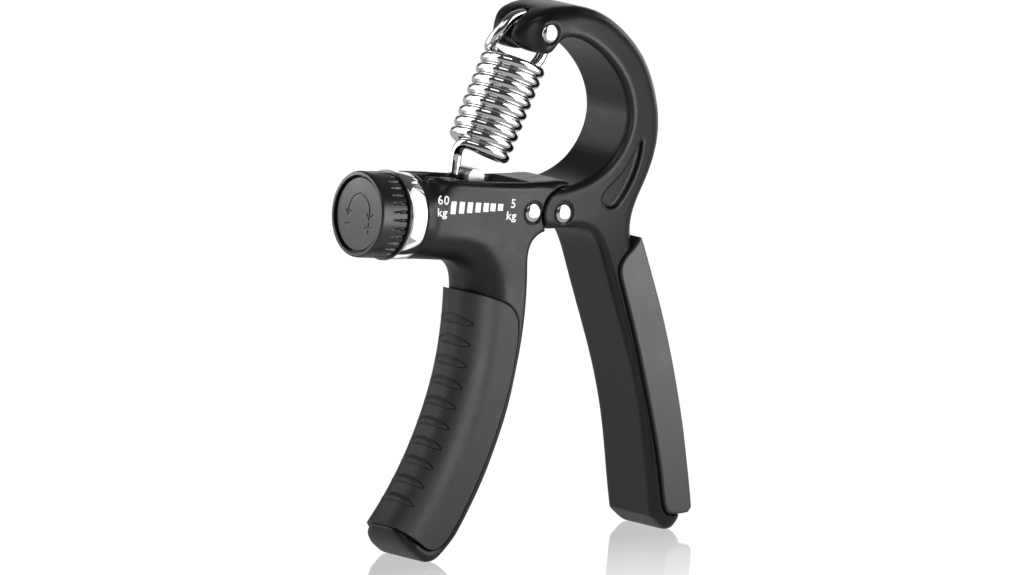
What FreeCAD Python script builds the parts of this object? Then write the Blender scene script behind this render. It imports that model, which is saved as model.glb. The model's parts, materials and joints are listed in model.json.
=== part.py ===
import FreeCAD, Part
import math
import os
import Sketcher

# Adjustable hand grip strengthener: two hinged handles, a tension spring between
# them, and a knob and screw in the barrel that move the nut the spring hooks on.
# Design frame: origin on the main hinge axis, +X along the barrel towards the
# rear handle, +Z up and square to the barrel, Y across the width.  Every piece
# then gets the same Placement, which tilts the barrel and stands both handle
# ends on z = 0.

V = FreeCAD.Vector
os.makedirs("parts", exist_ok=True)
doc = FreeCAD.newDocument("grip_strengthener")

# ------------------------------------------------------- driving dimensions
DIMS = dict(
    # stance
    tilt_deg=7.5, hinge_x=10.365, hinge_h=93.4,
    # widths across Y
    body_w=22.0, core_w=17.4, tongue_w=13.0, gap_w=14.0,
    well_w=17.0, slot_w=11.0, fork_slot_w=3.9, skin_gap=0.12,
    # barrel
    axis_z=-3.4, barrel_top=8.0, barrel_bot=-15.1, barrel_x0=-45.4,
    collar_r=12.0, spigot_r=10.3, spigot_x0=-53.2,
    ring_x0=-53.15, ring_x1=-47.75, ring_r=12.15, ring_bore=10.4,
    # knob
    knob_x0=-63.2, knob_x1=-53.4, knob_r=12.0, flange_r=12.55, rim_in_r=10.75,
    disc_r=10.6, disc_t=1.2, flutes=32, flute_r=0.62, hub_r=6.6, hex_af=8.0,
    # screw train
    screw_r=3.0, root_r=2.45, lead=2.5, thread_x0=-45.6, thread_x1=-17.6,
    tail_r=1.95, bush_r=4.6, bush_flange_r=7.4,
    # nut
    nut_x0=-33.0, nut_x1=-22.4, nut_w=10.8, nut_z0=-9.2, nut_z1=1.4,
    lug_x0=-29.45, lug_x1=-24.1, lug_w=9.0, lug_z=10.7,
    bar_z=8.5, bar_low=6.35, window_w=4.4, window_z=2.3, hook_r=4.42,
    # rivets
    head_r=2.6, recess_r=3.1, recess_d=0.7, head_d=1.05,
    hinge_pin_r=2.0, block_pin_r=1.5, tenon_r=1.1,
    block_x=-10.6, block_z=-0.1, spring_x=-11.2, spring_z=49.9,
    # hinge
    ear_r=6.7, arc_r=7.4, tongue_r=8.2, hwash_r=4.1,
    # spring
    wire_r=1.56, coil_r=7.6, pitch=3.2, lean_deg=20.4,
    coil_t0=8.4, coil_turns=9.0, loop_r=8.0,
)


class Driven(float):
    """A number that remembers the spreadsheet expression it comes from."""

    def __new__(cls, value, text):
        number = super().__new__(cls, value)
        number.text = text
        return number

    def __add__(self, other):
        return combine(self, "+", other, float(self) + float(other))

    def __radd__(self, other):
        return combine(other, "+", self, float(other) + float(self))

    def __sub__(self, other):
        return combine(self, "-", other, float(self) - float(other))

    def __rsub__(self, other):
        return combine(other, "-", self, float(other) - float(self))

    def __mul__(self, other):
        return combine(self, "*", other, float(self) * float(other))

    def __rmul__(self, other):
        return combine(other, "*", self, float(other) * float(self))

    def __truediv__(self, other):
        return combine(self, "/", other, float(self) / float(other))

    def __neg__(self):
        return Driven(-float(self), "(-%s)" % self.text)


def combine(left, sign, right, value):
    """Driven result of an operation, with its expression in brackets."""
    texts = [v.text if isinstance(v, Driven) else repr(float(v)) for v in (left, right)]
    return Driven(value, "(%s %s %s)" % (texts[0], sign, texts[1]))


class Dimensions:
    """Holds each alias of the spreadsheet as a Driven number."""


sheet = doc.addObject("Spreadsheet::Sheet", "dims")
for row, (alias, size) in enumerate(DIMS.items(), 1):
    sheet.set("A%d" % row, alias)
    sheet.set("B%d" % row, repr(size))
    sheet.setAlias("B%d" % row, alias)
doc.recompute()
dim = Dimensions()
for alias in DIMS:
    setattr(dim, alias, Driven(float(sheet.get(alias)), "dims." + alias))

HALF = dim.body_w / 2.0         # cheeks of both handles lie at y = +-HALF
CORE_HALF = dim.core_w / 2.0    # cheeks of the cores under the soft grips
GAP = dim.skin_gap
PIN_CLEARANCE = 0.04

# spring frame: "up" runs along the leaning coil axis towards the spring pin
lean = math.radians(dim.lean_deg)
spring_up = V(math.sin(lean), 0, math.cos(lean))
spring_across = V(math.cos(lean), 0, -math.sin(lean))
spring_pin = V(dim.spring_x, 0, dim.spring_z)
loop_centre = spring_pin - spring_up * (dim.loop_r - dim.wire_r - dim.hinge_pin_r - 0.06)

# ---------------------------------------------------------- document helpers
pieces = []


def body(label):
    part = doc.addObject("PartDesign::Body", "b_" + label)
    part.Label = label
    pieces.append(part)
    return part


def feature(label, shape):
    part = doc.addObject("Part::Feature", "f_" + label)
    part.Label = label
    part.Shape = shape
    pieces.append(part)


def place(part):
    """Common stance: tilt about Y, hinge axis at its height."""
    part.Placement = FreeCAD.Placement(
        V(dim.hinge_x, 0, dim.hinge_h), FreeCAD.Rotation(V(0, 1, 0), dim.tilt_deg))
    part.setExpression("Placement.Base.x", dim.hinge_x.text)
    part.setExpression("Placement.Base.z", dim.hinge_h.text)
    part.setExpression("Placement.Rotation.Angle", dim.tilt_deg.text)


def sketch(part, role, name, offset=(0, 0, 0)):
    """Sketch on an origin plane of the body, offset in the plane's own axes."""
    drawn = part.newObject("Sketcher::SketchObject", name)
    base = next(o for o in part.Origin.OriginFeatures if o.Role == role)
    drawn.AttachmentSupport = [(base, "")]
    drawn.MapMode = "FlatFace"
    drawn.AttachmentOffset = FreeCAD.Placement(V(*offset), FreeCAD.Rotation())
    for axis, shift in zip("xyz", offset):
        if isinstance(shift, Driven):
            drawn.setExpression("AttachmentOffset.Base." + axis, shift.text)
    return drawn


def bind(drawn, index, name, size):
    """Name a constraint and drive it from the sheet."""
    drawn.renameConstraint(index, name)
    drawn.setExpression("Constraints." + name, size.text)


def hold(drawn, direction, geometry, point, target, prefix):
    """Fix one coordinate of a sketch point, driven where the target is."""
    value = float(target)
    if abs(value) < 1e-9:
        axis = -2 if direction == "X" else -1
        drawn.addConstraint(Sketcher.Constraint("PointOnObject", geometry, point, axis))
        return
    origin, here = (-1, 1), (geometry, point)
    ends = origin + here if value > 0 else here + origin
    index = drawn.addConstraint(
        Sketcher.Constraint("Distance" + direction, *ends, abs(value)))
    if isinstance(target, Driven):
        bind(drawn, index, "%s%d_%s" % (prefix, geometry, direction),
             target if value > 0 else -target)


def polygon(drawn, corners):
    """Closed outline with every corner held."""
    count = len(corners)
    for i in range(count):
        start, end = corners[i], corners[(i + 1) % count]
        drawn.addGeometry(
            Part.LineSegment(V(start[0], start[1], 0), V(end[0], end[1], 0)), False)
    for i in range(count):
        drawn.addConstraint(Sketcher.Constraint("Coincident", i, 2, (i + 1) % count, 1))
    for i, (across, along) in enumerate(corners):
        hold(drawn, "X", i, 1, across, "c")
        hold(drawn, "Y", i, 1, along, "c")


def circle(drawn, centre_x, centre_y, radius):
    index = drawn.addGeometry(
        Part.Circle(V(centre_x, centre_y, 0), V(0, 0, 1), float(radius)), False)
    size = drawn.addConstraint(Sketcher.Constraint("Radius", index, float(radius)))
    bind(drawn, size, "r%d" % index, radius)
    hold(drawn, "X", index, 3, centre_x, "m")
    hold(drawn, "Y", index, 3, centre_y, "m")


def revolve(part, name, drawn, axis):
    turned = part.newObject("PartDesign::Revolution", name)
    turned.Profile = drawn
    turned.ReferenceAxis = (drawn, [axis])
    turned.Angle = 360


def revolve_x(part, name, profile):
    """Turn a profile of (x, radius) about the barrel axis."""
    drawn = sketch(part, "XZ_Plane", name + "_sk", (0, dim.axis_z, 0))
    polygon(drawn, profile)
    revolve(part, name, drawn, "H_Axis")


def revolve_y(part, name, profile, x, z):
    """Turn a profile of (radius, y) about a line along Y through (x, z)."""
    drawn = sketch(part, "XY_Plane", name + "_sk", (x, 0, z))
    polygon(drawn, profile)
    revolve(part, name, drawn, "V_Axis")


def set_length(extrusion, drawn, length, side_type):
    extrusion.Profile = drawn
    extrusion.Length = float(length)
    extrusion.SideType = side_type
    if isinstance(length, Driven):
        extrusion.setExpression("Length", length.text)


def pad(part, name, drawn, length):
    """Pad, half to each side of the sketch plane."""
    set_length(part.newObject("PartDesign::Pad", name), drawn, length, "Symmetric")


def pocket(part, name, drawn, length, symmetric=False):
    """Pocket; a one-sided one is turned round if it removes nothing."""
    doc.recompute()
    before = part.Shape.Volume
    cut = part.newObject("PartDesign::Pocket", name)
    set_length(cut, drawn, length, "Symmetric" if symmetric else "One side")
    doc.recompute()
    if not symmetric and (cut.Shape.isNull() or abs(cut.Shape.Volume - before) < 1e-6):
        cut.Reversed = True
        doc.recompute()
    return cut


# ------------------------------------------------------------- shape helpers
# points of the side view are (x, z)
def side_point(point):
    return V(point[0], 0, point[1])


def polar(radius, degrees):
    angle = math.radians(degrees)
    return (radius * math.cos(angle), radius * math.sin(angle))


def shifted(points, dx, dz):
    return [(x + dx, z + dz) for x, z in points]


def spline(points):
    curve = Part.BSplineCurve()
    curve.interpolate(Points=[side_point(p) for p in points])
    return curve.toShape()


def lines(points):
    return [Part.makeLine(side_point(a), side_point(b))
            for a, b in zip(points[:-1], points[1:])]


def arc(start, middle, end):
    return Part.Arc(side_point(start), side_point(middle), side_point(end)).toShape()


def face(edges):
    return Part.Face(Part.Wire(Part.__sortEdges__(edges)))


def slab(edges, y0, y1):
    """Side-view outline extruded from y0 to y1."""
    flat = face(edges)
    flat.translate(V(0, y0, 0))
    return flat.extrude(V(0, y1 - y0, 0))


def block(corners, half_width):
    """Straight-sided outline extruded evenly across Y."""
    return slab(lines(corners + corners[:1]), -half_width, half_width)


def cylinder_x(radius, x0, x1):
    """Cylinder on the barrel axis."""
    return Part.makeCylinder(radius, x1 - x0, V(x0, 0, dim.axis_z), V(1, 0, 0))


def cylinder_y(radius, y0, y1, x, z):
    return Part.makeCylinder(radius, y1 - y0, V(x, y0, z), V(0, 1, 0))


def box(x0, x1, y0, y1, z0, z1):
    return Part.makeBox(x1 - x0, y1 - y0, z1 - z0, V(x0, y0, z0))


def barrel_turned(curve, corners):
    """Turn (x, radius) points about the barrel axis: a spline closed by lines."""
    curve = shifted(curve, 0, dim.axis_z)
    corners = shifted(corners, 0, dim.axis_z)
    edges = [spline(curve)] + lines([curve[-1]] + corners + [curve[0]])
    return face(edges).revolve(V(0, 0, dim.axis_z), V(1, 0, 0), 360)


def largest_fillet(shape, edges, radii):
    """First radius of the list that gives one valid solid, else no fillet."""
    if not edges:
        return shape
    for radius in radii:
        # the kernel raises an error where a radius does not fit these edges
        try:
            rounded = shape.makeFillet(radius, edges)
            if rounded.isValid() and len(rounded.Solids) == 1 and rounded.Volume > 0:
                return rounded
        except Exception:
            pass
    return shape


def round_curve(shape, curve, half_width, radii, tolerance=0.06):
    """Fillet the two cheek edges that join the ends of a side-view curve."""
    start, end = curve[0], curve[-1]
    edges = []
    for y in (-half_width, half_width):
        for edge in shape.Edges:
            bounds = edge.BoundBox
            if abs(bounds.YMin - y) > 0.02 or abs(bounds.YMax - y) > 0.02:
                continue
            tips = [(v.X, v.Z) for v in edge.Vertexes]
            if len(tips) == 2 and any(
                    math.dist(tips[0], a) < tolerance and math.dist(tips[1], b) < tolerance
                    for a, b in ((start, end), (end, start))):
                edges.append(edge)
    return largest_fillet(shape, edges, radii)


def cut_floor(shape):
    """Trim the foot flat with the floor plane."""
    floor = Part.makeBox(300, 200, 40, V(-150, -100, -40))
    drop = FreeCAD.Placement(V(0, 0, -dim.hinge_h), FreeCAD.Rotation())
    untilt = FreeCAD.Placement(V(0, 0, 0), FreeCAD.Rotation(V(0, 1, 0), -dim.tilt_deg))
    floor.Placement = untilt.multiply(drop)
    return shape.cut(floor)


def cut_pin_hole(shape, radius, x, z):
    return shape.cut(cylinder_y(radius + PIN_CLEARANCE, -20, 20, x, z))


def cut_head_recesses(shape, x, z):
    """Shallow round recess in each cheek for a rivet head."""
    for y0, y1 in ((-HALF - 3, -HALF + dim.recess_d), (HALF - dim.recess_d, HALF + 3)):
        shape = shape.cut(cylinder_y(dim.recess_r, y0, y1, x, z))
    return shape


def cut_cheeks(shape, edges):
    """Thin a region of the handle down to the core width."""
    for y0, y1 in ((-20, -CORE_HALF), (CORE_HALF, 20)):
        shape = shape.cut(slab(edges, y0, y1))
    return shape


def hollow_grip(outer, seat, handle):
    """Take the core and the handle out of a grip; keep the largest solid."""
    wall = CORE_HALF + GAP
    grip = outer.cut(seat.common(box(-100, 100, -wall, wall, -150, 100)))
    return max(grip.cut(handle).Solids, key=lambda solid: solid.Volume)


# ------------------------------------------------- rear handle outlines (x, z)
REAR_BACK = [   # rear face of the core, from the hinge down
    (24.9, -1.6), (25.3, -5.6), (27.2, -10.4), (30.7, -17.2), (34.6, -25.5),
    (38.1, -33.8), (41.3, -42.1), (44.2, -50.4), (46.9, -58.7), (49.2, -67.0),
    (51.4, -75.2), (52.9, -81.4)]
REAR_OUTER = [  # foot, rear face upwards, then over the arm to its bulb
    (48.2, -88.6), (50.8, -87.4), (52.3, -85.0)] + REAR_BACK[::-1] + [
    (25.9, 3.6), (28.0, 8.9), (30.4, 16.4), (31.1, 24.8), (28.7, 35.0),
    (23.6, 44.2), (16.0, 51.4), (6.6, 56.4), (-3.0, 57.8), (-9.8, 57.0),
    (-14.2, 55.2), (-17.6, 52.2), (-19.5, 49.0)]
BULB = [        # underside of the arm end
    (-19.5, 49.0), (-18.6, 46.6), (-16.6, 45.1), (-13.6, 44.2), (-10.0, 43.6)]
ARM_INNER = [   # underside of the arm, from the hinge ear to the bulb
    (2.3, 7.6), (7.0, 9.3), (13.1, 13.1), (17.6, 18.9), (19.6, 26.4), (18.0, 33.7),
    (12.7, 41.1), (5.2, 46.5), (-1.6, 48.8), (-5.0, 48.5), (-7.2, 46.6),
    (-8.4, 44.8), (-10.0, 43.6)]
EAR_LOW = polar(dim.ear_r, 223.0)
EAR_MIDDLE = polar(dim.ear_r, 155)
REAR_INNER = [  # face towards the front handle, from the foot to the ear
    (42.4, -84.2), (40.5, -77.0), (36.6, -61.0), (31.6, -46.0), (24.9, -31.0),
    (18.4, -17.2), (14.9, -9.9), (12.4, -6.4), (9.0, -4.5), (5.0, -4.0),
    (0.0, -4.3), EAR_LOW]
RECESS_CURVES = [   # tapered cheek recess below the arm: three joined splines
    [(24.7, 22.6), (22.0, 16.6), (18.0, 10.8), (14.2, 7.0), (12.9, 5.0)],
    [(12.9, 5.0), (13.4, 3.0), (16.0, 1.9), (18.4, 2.9)],
    [(18.4, 2.9), (21.4, 7.4), (23.6, 12.6), (24.7, 18.0), (24.7, 22.6)]]
PAD_EDGE = [    # edge of the rear pad on the cheeks, from the top down
    (24.6, -9.3), (22.4, -11.8), (21.3, -14.6), (22.3, -18.6), (25.2, -25.0),
    (30.0, -36.2), (34.8, -48.4), (39.4, -61.0), (42.8, -71.6), (45.0, -79.6)]
PAD_BACK = [    # rear face of the pad
    (27.6, -6.0), (29.0, -8.7), (32.7, -16.4), (36.6, -24.7), (40.1, -33.0),
    (43.3, -41.3), (46.2, -49.6), (48.9, -58.0), (51.2, -66.3), (53.4, -74.6),
    (54.9, -81.0)]
ARM_NOSE_X = -9.3   # centre of the plan rounding of the arm end


def pad_edge(top, gap):
    """Cheek edge of the rear pad from its top point, moved outwards by gap."""
    return ([top, (26.2, -7.0 + gap)] + shifted(PAD_EDGE, -gap * 0.9, -gap * 0.4) +
            [(46.4 - gap, -82.4 - gap), (48.8, -83.1 - gap)])


def make_rear_handle():
    ear_top = (0.0, dim.ear_r)
    edges = ([spline(REAR_OUTER)] + lines([REAR_OUTER[0], REAR_INNER[0]]) +
             [spline(REAR_INNER), arc(EAR_LOW, EAR_MIDDLE, ear_top)] +
             lines([ear_top, (2.0, dim.ear_r), ARM_INNER[0]]) +
             [spline(ARM_INNER), spline(BULB)])
    rear = slab(edges, -HALF, HALF)
    rear = round_curve(rear, REAR_INNER, HALF, [2.2, 1.9, 1.6, 1.2, 0.8])
    rear = round_curve(rear, REAR_OUTER, HALF, [3.2, 2.6, 2.0, 1.4], tolerance=2.5)
    rear = round_curve(rear, ARM_INNER, HALF, [2.2, 1.8, 1.4, 1.0])

    # bulb of the arm rounded in plan, flush with the cheeks at the nose centre
    corners = box(-40, ARM_NOSE_X, -20, 20, 40, 62).cut(
        Part.makeCylinder(HALF, 30, V(ARM_NOSE_X, 0, 36)))
    corners = corners.cut(box(ARM_NOSE_X, ARM_NOSE_X + 0.3, -20, 20, 40, 62))
    rear = rear.cut(corners)

    # clevis gap for the tongue of the front handle
    gap_half = dim.gap_w / 2.0
    clevis = cylinder_y(dim.tongue_r + 0.5, -gap_half, gap_half, 0, 0)
    clevis = clevis.fuse(block(
        [(0, 0), (-20, 0), (-20, 12), (1.7, 12), (1.7, 8.4)], gap_half))
    clevis = clevis.fuse(block(
        [(0, 0), (-20, 0), (-20, -20), (4.0, -20), (5.4, -6.6)], gap_half))
    rear = rear.cut(clevis)

    # fork slot for the spring loop
    slot_half = dim.fork_slot_w / 2.0
    fork = cylinder_y(dim.loop_r + dim.wire_r + 0.5, -slot_half, slot_half,
                      loop_centre.x, loop_centre.z)
    fork = fork.fuse(box(loop_centre.x - 14, loop_centre.x + 1,
                         -slot_half, slot_half, 38, 49.5))
    rear = rear.cut(fork)

    for x, z in ((0, 0), (dim.spring_x, dim.spring_z)):
        rear = cut_pin_hole(rear, dim.hinge_pin_r, x, z)
        rear = cut_head_recesses(rear, x, z)

    # tapered recess, 1.5 deep in each cheek
    for side in (-1, 1):
        edges = [spline(curve) for curve in RECESS_CURVES]
        rear = rear.cut(slab(edges, side * (HALF + 1.0), side * (HALF - 1.5)))

    # cheeks thinned to seat the soft pad
    edge = pad_edge((25.7, -4.3 + GAP), GAP)
    rear = cut_cheeks(rear, [spline(edge)] + lines(
        [edge[-1], (66, -83.1 - GAP), (66, -4.3 + GAP), edge[0]]))
    return cut_floor(rear).removeSplitter()


def make_rear_pad(rear):
    """Shell round the back of the rear core."""
    half = HALF + 0.8
    edge = pad_edge((25.8, -4.4), 0.0)
    toe = (54.0, -82.4)
    edges = ([spline(edge), spline([edge[-1], (51.6, -82.9), toe])] +
             lines([toe, PAD_BACK[-1]]) + [spline(PAD_BACK)] +
             lines([PAD_BACK[0], edge[0]]))
    outer = slab(edges, -half, half)
    # the edges round each cheek and those running across from cheek to cheek
    rim = [e for e in outer.Edges
           if abs(abs(e.BoundBox.YMin) - half) < 0.02
           and abs(abs(e.BoundBox.YMax) - half) < 0.02]
    outer = largest_fillet(outer, rim, [1.3, 1.1, 0.9, 0.7, 0.5])

    seat_back = shifted(REAR_BACK, GAP, GAP * 0.4)
    seat_top = -3.0 + GAP * 0.4
    seat_edges = [spline(seat_back)] + lines(
        [seat_back[-1], (seat_back[-1][0] + 0.3, -90), (50, -92), (20, -60),
         (10, -10), (10, seat_top), (seat_back[0][0], seat_top)])
    seat = slab(seat_edges, -HALF - GAP, HALF + GAP)
    seat = round_curve(seat, seat_back, HALF + GAP, [3.2, 3.0, 2.6])
    return hollow_grip(outer, seat, rear)


# ------------------------------------------------ front handle outlines (x, z)
HINGE_TOP = polar(dim.arc_r, 84)
HINGE_LOW = polar(dim.arc_r, 226)
BARREL_TOP = [
    (dim.barrel_x0, dim.barrel_top), (-30.0, dim.barrel_top), (-14.0, 8.1),
    (-8.0, 8.5), (-3.0, 9.0), (1.1, 9.3)]
FRONT_REAR = [  # face towards the rear handle, from the hinge down
    HINGE_LOW, (-7.2, -6.2), (-9.3, -8.3), (-10.2, -11.4), (-9.9, -16.5),
    (-9.3, -24.0), (-9.3, -34.0), (-10.3, -45.0), (-12.0, -56.0), (-14.7, -66.0),
    (-17.5, -74.4), (-21.5, -83.6), (-24.5, -89.6), (-27.2, -94.0),
    (-30.0, -97.2), (-33.4, -99.2)]
FRONT_FACE = [  # underside of the barrel, then the front of the core downwards
    (dim.barrel_x0, dim.barrel_bot), (-41.0, dim.barrel_bot),
    (-36.6, dim.barrel_bot), (-32.4, -15.3), (-28.9, -16.5), (-26.4, -19.0),
    (-25.2, -23.0), (-24.7, -33.0), (-25.5, -45.4), (-27.8, -57.0),
    (-31.4, -68.0), (-36.3, -79.0), (-41.3, -87.8), (-42.7, -90.0)]
FOOT_CAP = [    # hard end below the grip
    (-43.7, -89.3), (-42.5, -92.5), (-39.8, -95.5), (-36.6, -97.7), (-34.3, -99.2)]
GRIP_FRONT = [  # front face of the soft grip
    (-27.0, -23.4), (-26.6, -33.6), (-27.4, -45.6), (-30.0, -57.8),
    (-33.6, -68.6), (-38.6, -79.4), (-44.4, -88.9)]
GRIP_EDGE = [   # edge of the soft grip on the cheeks
    (-27.0, -23.4), (-23.2, -24.0), (-19.2, -25.0), (-15.1, -26.7), (-12.6, -29.6),
    (-11.7, -34.0), (-11.8, -40.0), (-13.0, -50.0), (-15.3, -60.0), (-18.4, -70.0),
    (-22.0, -79.0), (-26.3, -88.0), (-28.6, -91.7), (-31.6, -94.3), (-35.4, -94.4),
    (-44.7, -88.9)]
# (x, radius) about the barrel axis
SHOULDER = [    # inner limit of the cut that turns the square barrel round
    (-46.2, 11.7), (-45.0, 11.75), (-43.8, 12.0), (-42.4, 12.8), (-41.0, 14.2),
    (-39.6, 16.4), (-38.4, 19.0)]
COLLAR = [
    (-45.2, dim.collar_r), (-44.2, 11.85), (-43.0, 11.3), (-41.4, 10.9), (-39.0, 10.7)]
# front nut slot
SLOT_X0, SLOT_X1 = -46.0, -15.6


def offset_normal(points, distance):
    """Move each point square to the chord of its neighbours."""
    moved = []
    last = len(points) - 1
    for i, (x, z) in enumerate(points):
        before = points[max(i - 1, 0)]
        after = points[min(i + 1, last)]
        dx, dz = after[0] - before[0], after[1] - before[1]
        length = math.hypot(dx, dz)
        moved.append((x - dz / length * distance, z + dx / length * distance))
    return moved


def round_foot(front):
    """Round the hard end in plan like the grip above it."""
    foot, above = FRONT_FACE[-1], FRONT_FACE[-3]
    angle = math.atan2(foot[1] - above[1], foot[0] - above[0])
    down = V(math.cos(angle), 0, math.sin(angle))
    rearward = V(-math.sin(angle), 0, math.cos(angle))
    tip = Part.makeBox(40, 2 * HALF, 60, V(0, -HALF, -30))
    tip = tip.makeFillet(9.0, [
        e for e in tip.Edges
        if abs(e.BoundBox.XMin) < 1e-6 and abs(e.BoundBox.XMax) < 1e-6
        and e.BoundBox.ZLength > 50])
    tip.Placement = FreeCAD.Placement(FreeCAD.Matrix(
        rearward.x, 0, -down.x, FOOT_CAP[0][0],
        0, 1, 0, 0,
        rearward.z, 0, -down.z, FOOT_CAP[0][1],
        0, 0, 0, 1))
    corners = [(foot[0] + rearward.x * k + down.x * j, foot[1] + rearward.z * k + down.z * j)
               for k, j in ((-40, 0), (40, 0), (40, 30), (-40, 30))]
    zone = block(corners, HALF + 1)
    end = front.common(zone).common(tip)
    return front.cut(zone).fuse(end)


def make_front_handle():
    edges = ([spline(BARREL_TOP)] + lines([BARREL_TOP[-1], HINGE_TOP]) +
             [arc(HINGE_TOP, (-dim.arc_r, 0.0), HINGE_LOW), spline(FRONT_REAR)] +
             lines([FRONT_REAR[-1], FOOT_CAP[-1]]) + [spline(FOOT_CAP)] +
             lines([FOOT_CAP[0], FRONT_FACE[-1]]) + [spline(FRONT_FACE)] +
             lines([FRONT_FACE[0], BARREL_TOP[0]]))
    front = slab(edges, -HALF, HALF)
    front = round_curve(front, FRONT_FACE, HALF, [9.0, 8.5, 8.0, 7.0, 6.0])
    front = round_curve(front, FRONT_REAR, HALF, [1.6, 1.2, 0.8])
    front = round_foot(front)
    front = round_curve(front, BARREL_TOP, HALF, [2.4, 1.8, 1.2])

    # the square barrel turns round towards the collar, then the spigot
    front = front.cut(barrel_turned(SHOULDER, [(-38.4, 30.0), (-46.2, 30.0)]))
    collar_x0 = dim.ring_x1 + 0.05
    front = front.fuse(barrel_turned(
        COLLAR, [(-39.0, 0), (collar_x0, 0), (collar_x0, dim.collar_r)]))
    front = front.fuse(cylinder_x(dim.spigot_r, dim.spigot_x0, -46.0))

    # hinge tongue and the web that joins it to the barrel
    tongue_half = dim.tongue_w / 2.0
    tongue = cylinder_y(dim.tongue_r, -tongue_half, tongue_half, 0, 0)
    web = block([(-12, 6.5), (-3.0, 8.2), (1.0, 8.1), (0, 0), (-3.5, -7.4),
                 (-8.6, -8.2)], tongue_half)
    front = front.fuse(tongue.fuse(web).cut(box(-5.6, 20, -8, 8, -20, -4.5)))

    # slot for the nut, pocket for the end block, raised rim round the slot
    slot_half = dim.slot_w / 2.0
    rim_half = slot_half + 1.3
    front = front.cut(box(SLOT_X0, SLOT_X1, -slot_half, slot_half, -9.6, 14))
    front = front.cut(box(-16.0, -6.35, -slot_half, slot_half, -8.6, 4.6))
    rim = box(-46.9, -14.2, -rim_half, rim_half, 7.4, 8.35).cut(
        box(SLOT_X0, SLOT_X1, -slot_half, slot_half, 7, 9))
    front = front.fuse(rim.cut(cylinder_x(20, -50, -45.5)))

    # room for the end coil of the spring when the handles are closed
    front = front.cut(block(
        [(-35.5, 14.0), (-35.5, 6.5), (-32.3, 3.0), (-17.3, 3.0), (-10.9, 8.4),
         (-10.9, 14.0)], dim.well_w / 2.0))

    # bore and counterbore for the front bush
    front = front.cut(cylinder_x(dim.bush_r, -56, -44))
    front = front.cut(cylinder_x(dim.bush_flange_r + 0.1, -56, -52.1))

    front = cut_pin_hole(front, dim.hinge_pin_r, 0, 0)
    front = cut_pin_hole(front, dim.block_pin_r, dim.block_x, dim.block_z)
    front = cut_head_recesses(front, dim.block_x, dim.block_z)

    # cheeks thinned to seat the soft grip
    edge = offset_normal(GRIP_EDGE, GAP)
    front = cut_cheeks(front, [spline(edge[:-1])] + lines(
        [edge[-2], edge[-1], (-60, -80), (-60, -23.0), edge[0]]))
    return cut_floor(front).removeSplitter()


def make_front_grip(front):
    """Soft shell round the front of the front core."""
    half = HALF + 0.15
    edges = ([spline(GRIP_EDGE[:-1])] + lines([GRIP_EDGE[-2], GRIP_FRONT[-1]]) +
             [spline(GRIP_FRONT)])
    outer = slab(edges, -half, half)
    outer = round_curve(outer, GRIP_FRONT, half, [9.0, 8.5, 8.0, 7.0, 6.0, 5.0, 3.5])

    seat_front = shifted(FRONT_FACE[5:] + [(-46.6, -96.0)], -GAP, -GAP * 0.4)
    seat_edges = [spline(seat_front)] + lines(
        [seat_front[-1], (-40.0, -104), (0, -60), (0, -18), seat_front[0]])
    seat = slab(seat_edges, -HALF - GAP, HALF + GAP)
    seat = round_curve(seat, seat_front, HALF + GAP, [9.0, 8.5, 8.0, 7.0, 6.0, 5.8, 5.0])
    return hollow_grip(outer, seat, front)


# --------------------------------------------------------------- turned parts
def make_collar_ring():
    chamfer = 0.3
    revolve_x(body("collar_ring"), "ring_turn", [
        (dim.ring_x0, dim.ring_bore),
        (dim.ring_x1, dim.ring_bore),
        (dim.ring_x1, dim.ring_r - chamfer),
        (dim.ring_x1 - chamfer, dim.ring_r),
        (dim.ring_x0 + chamfer, dim.ring_r),
        (dim.ring_x0, dim.ring_r - chamfer)])


def make_front_bush():
    bore = dim.screw_r + 0.05
    outside = dim.bush_r - 0.03
    flange_x1, bush_x1 = -52.15, -45.9
    revolve_x(body("front_bush"), "bush_turn", [
        (dim.spigot_x0, bore), (bush_x1, bore), (bush_x1, outside),
        (flange_x1, outside), (flange_x1, dim.bush_flange_r),
        (dim.spigot_x0, dim.bush_flange_r)])


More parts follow.
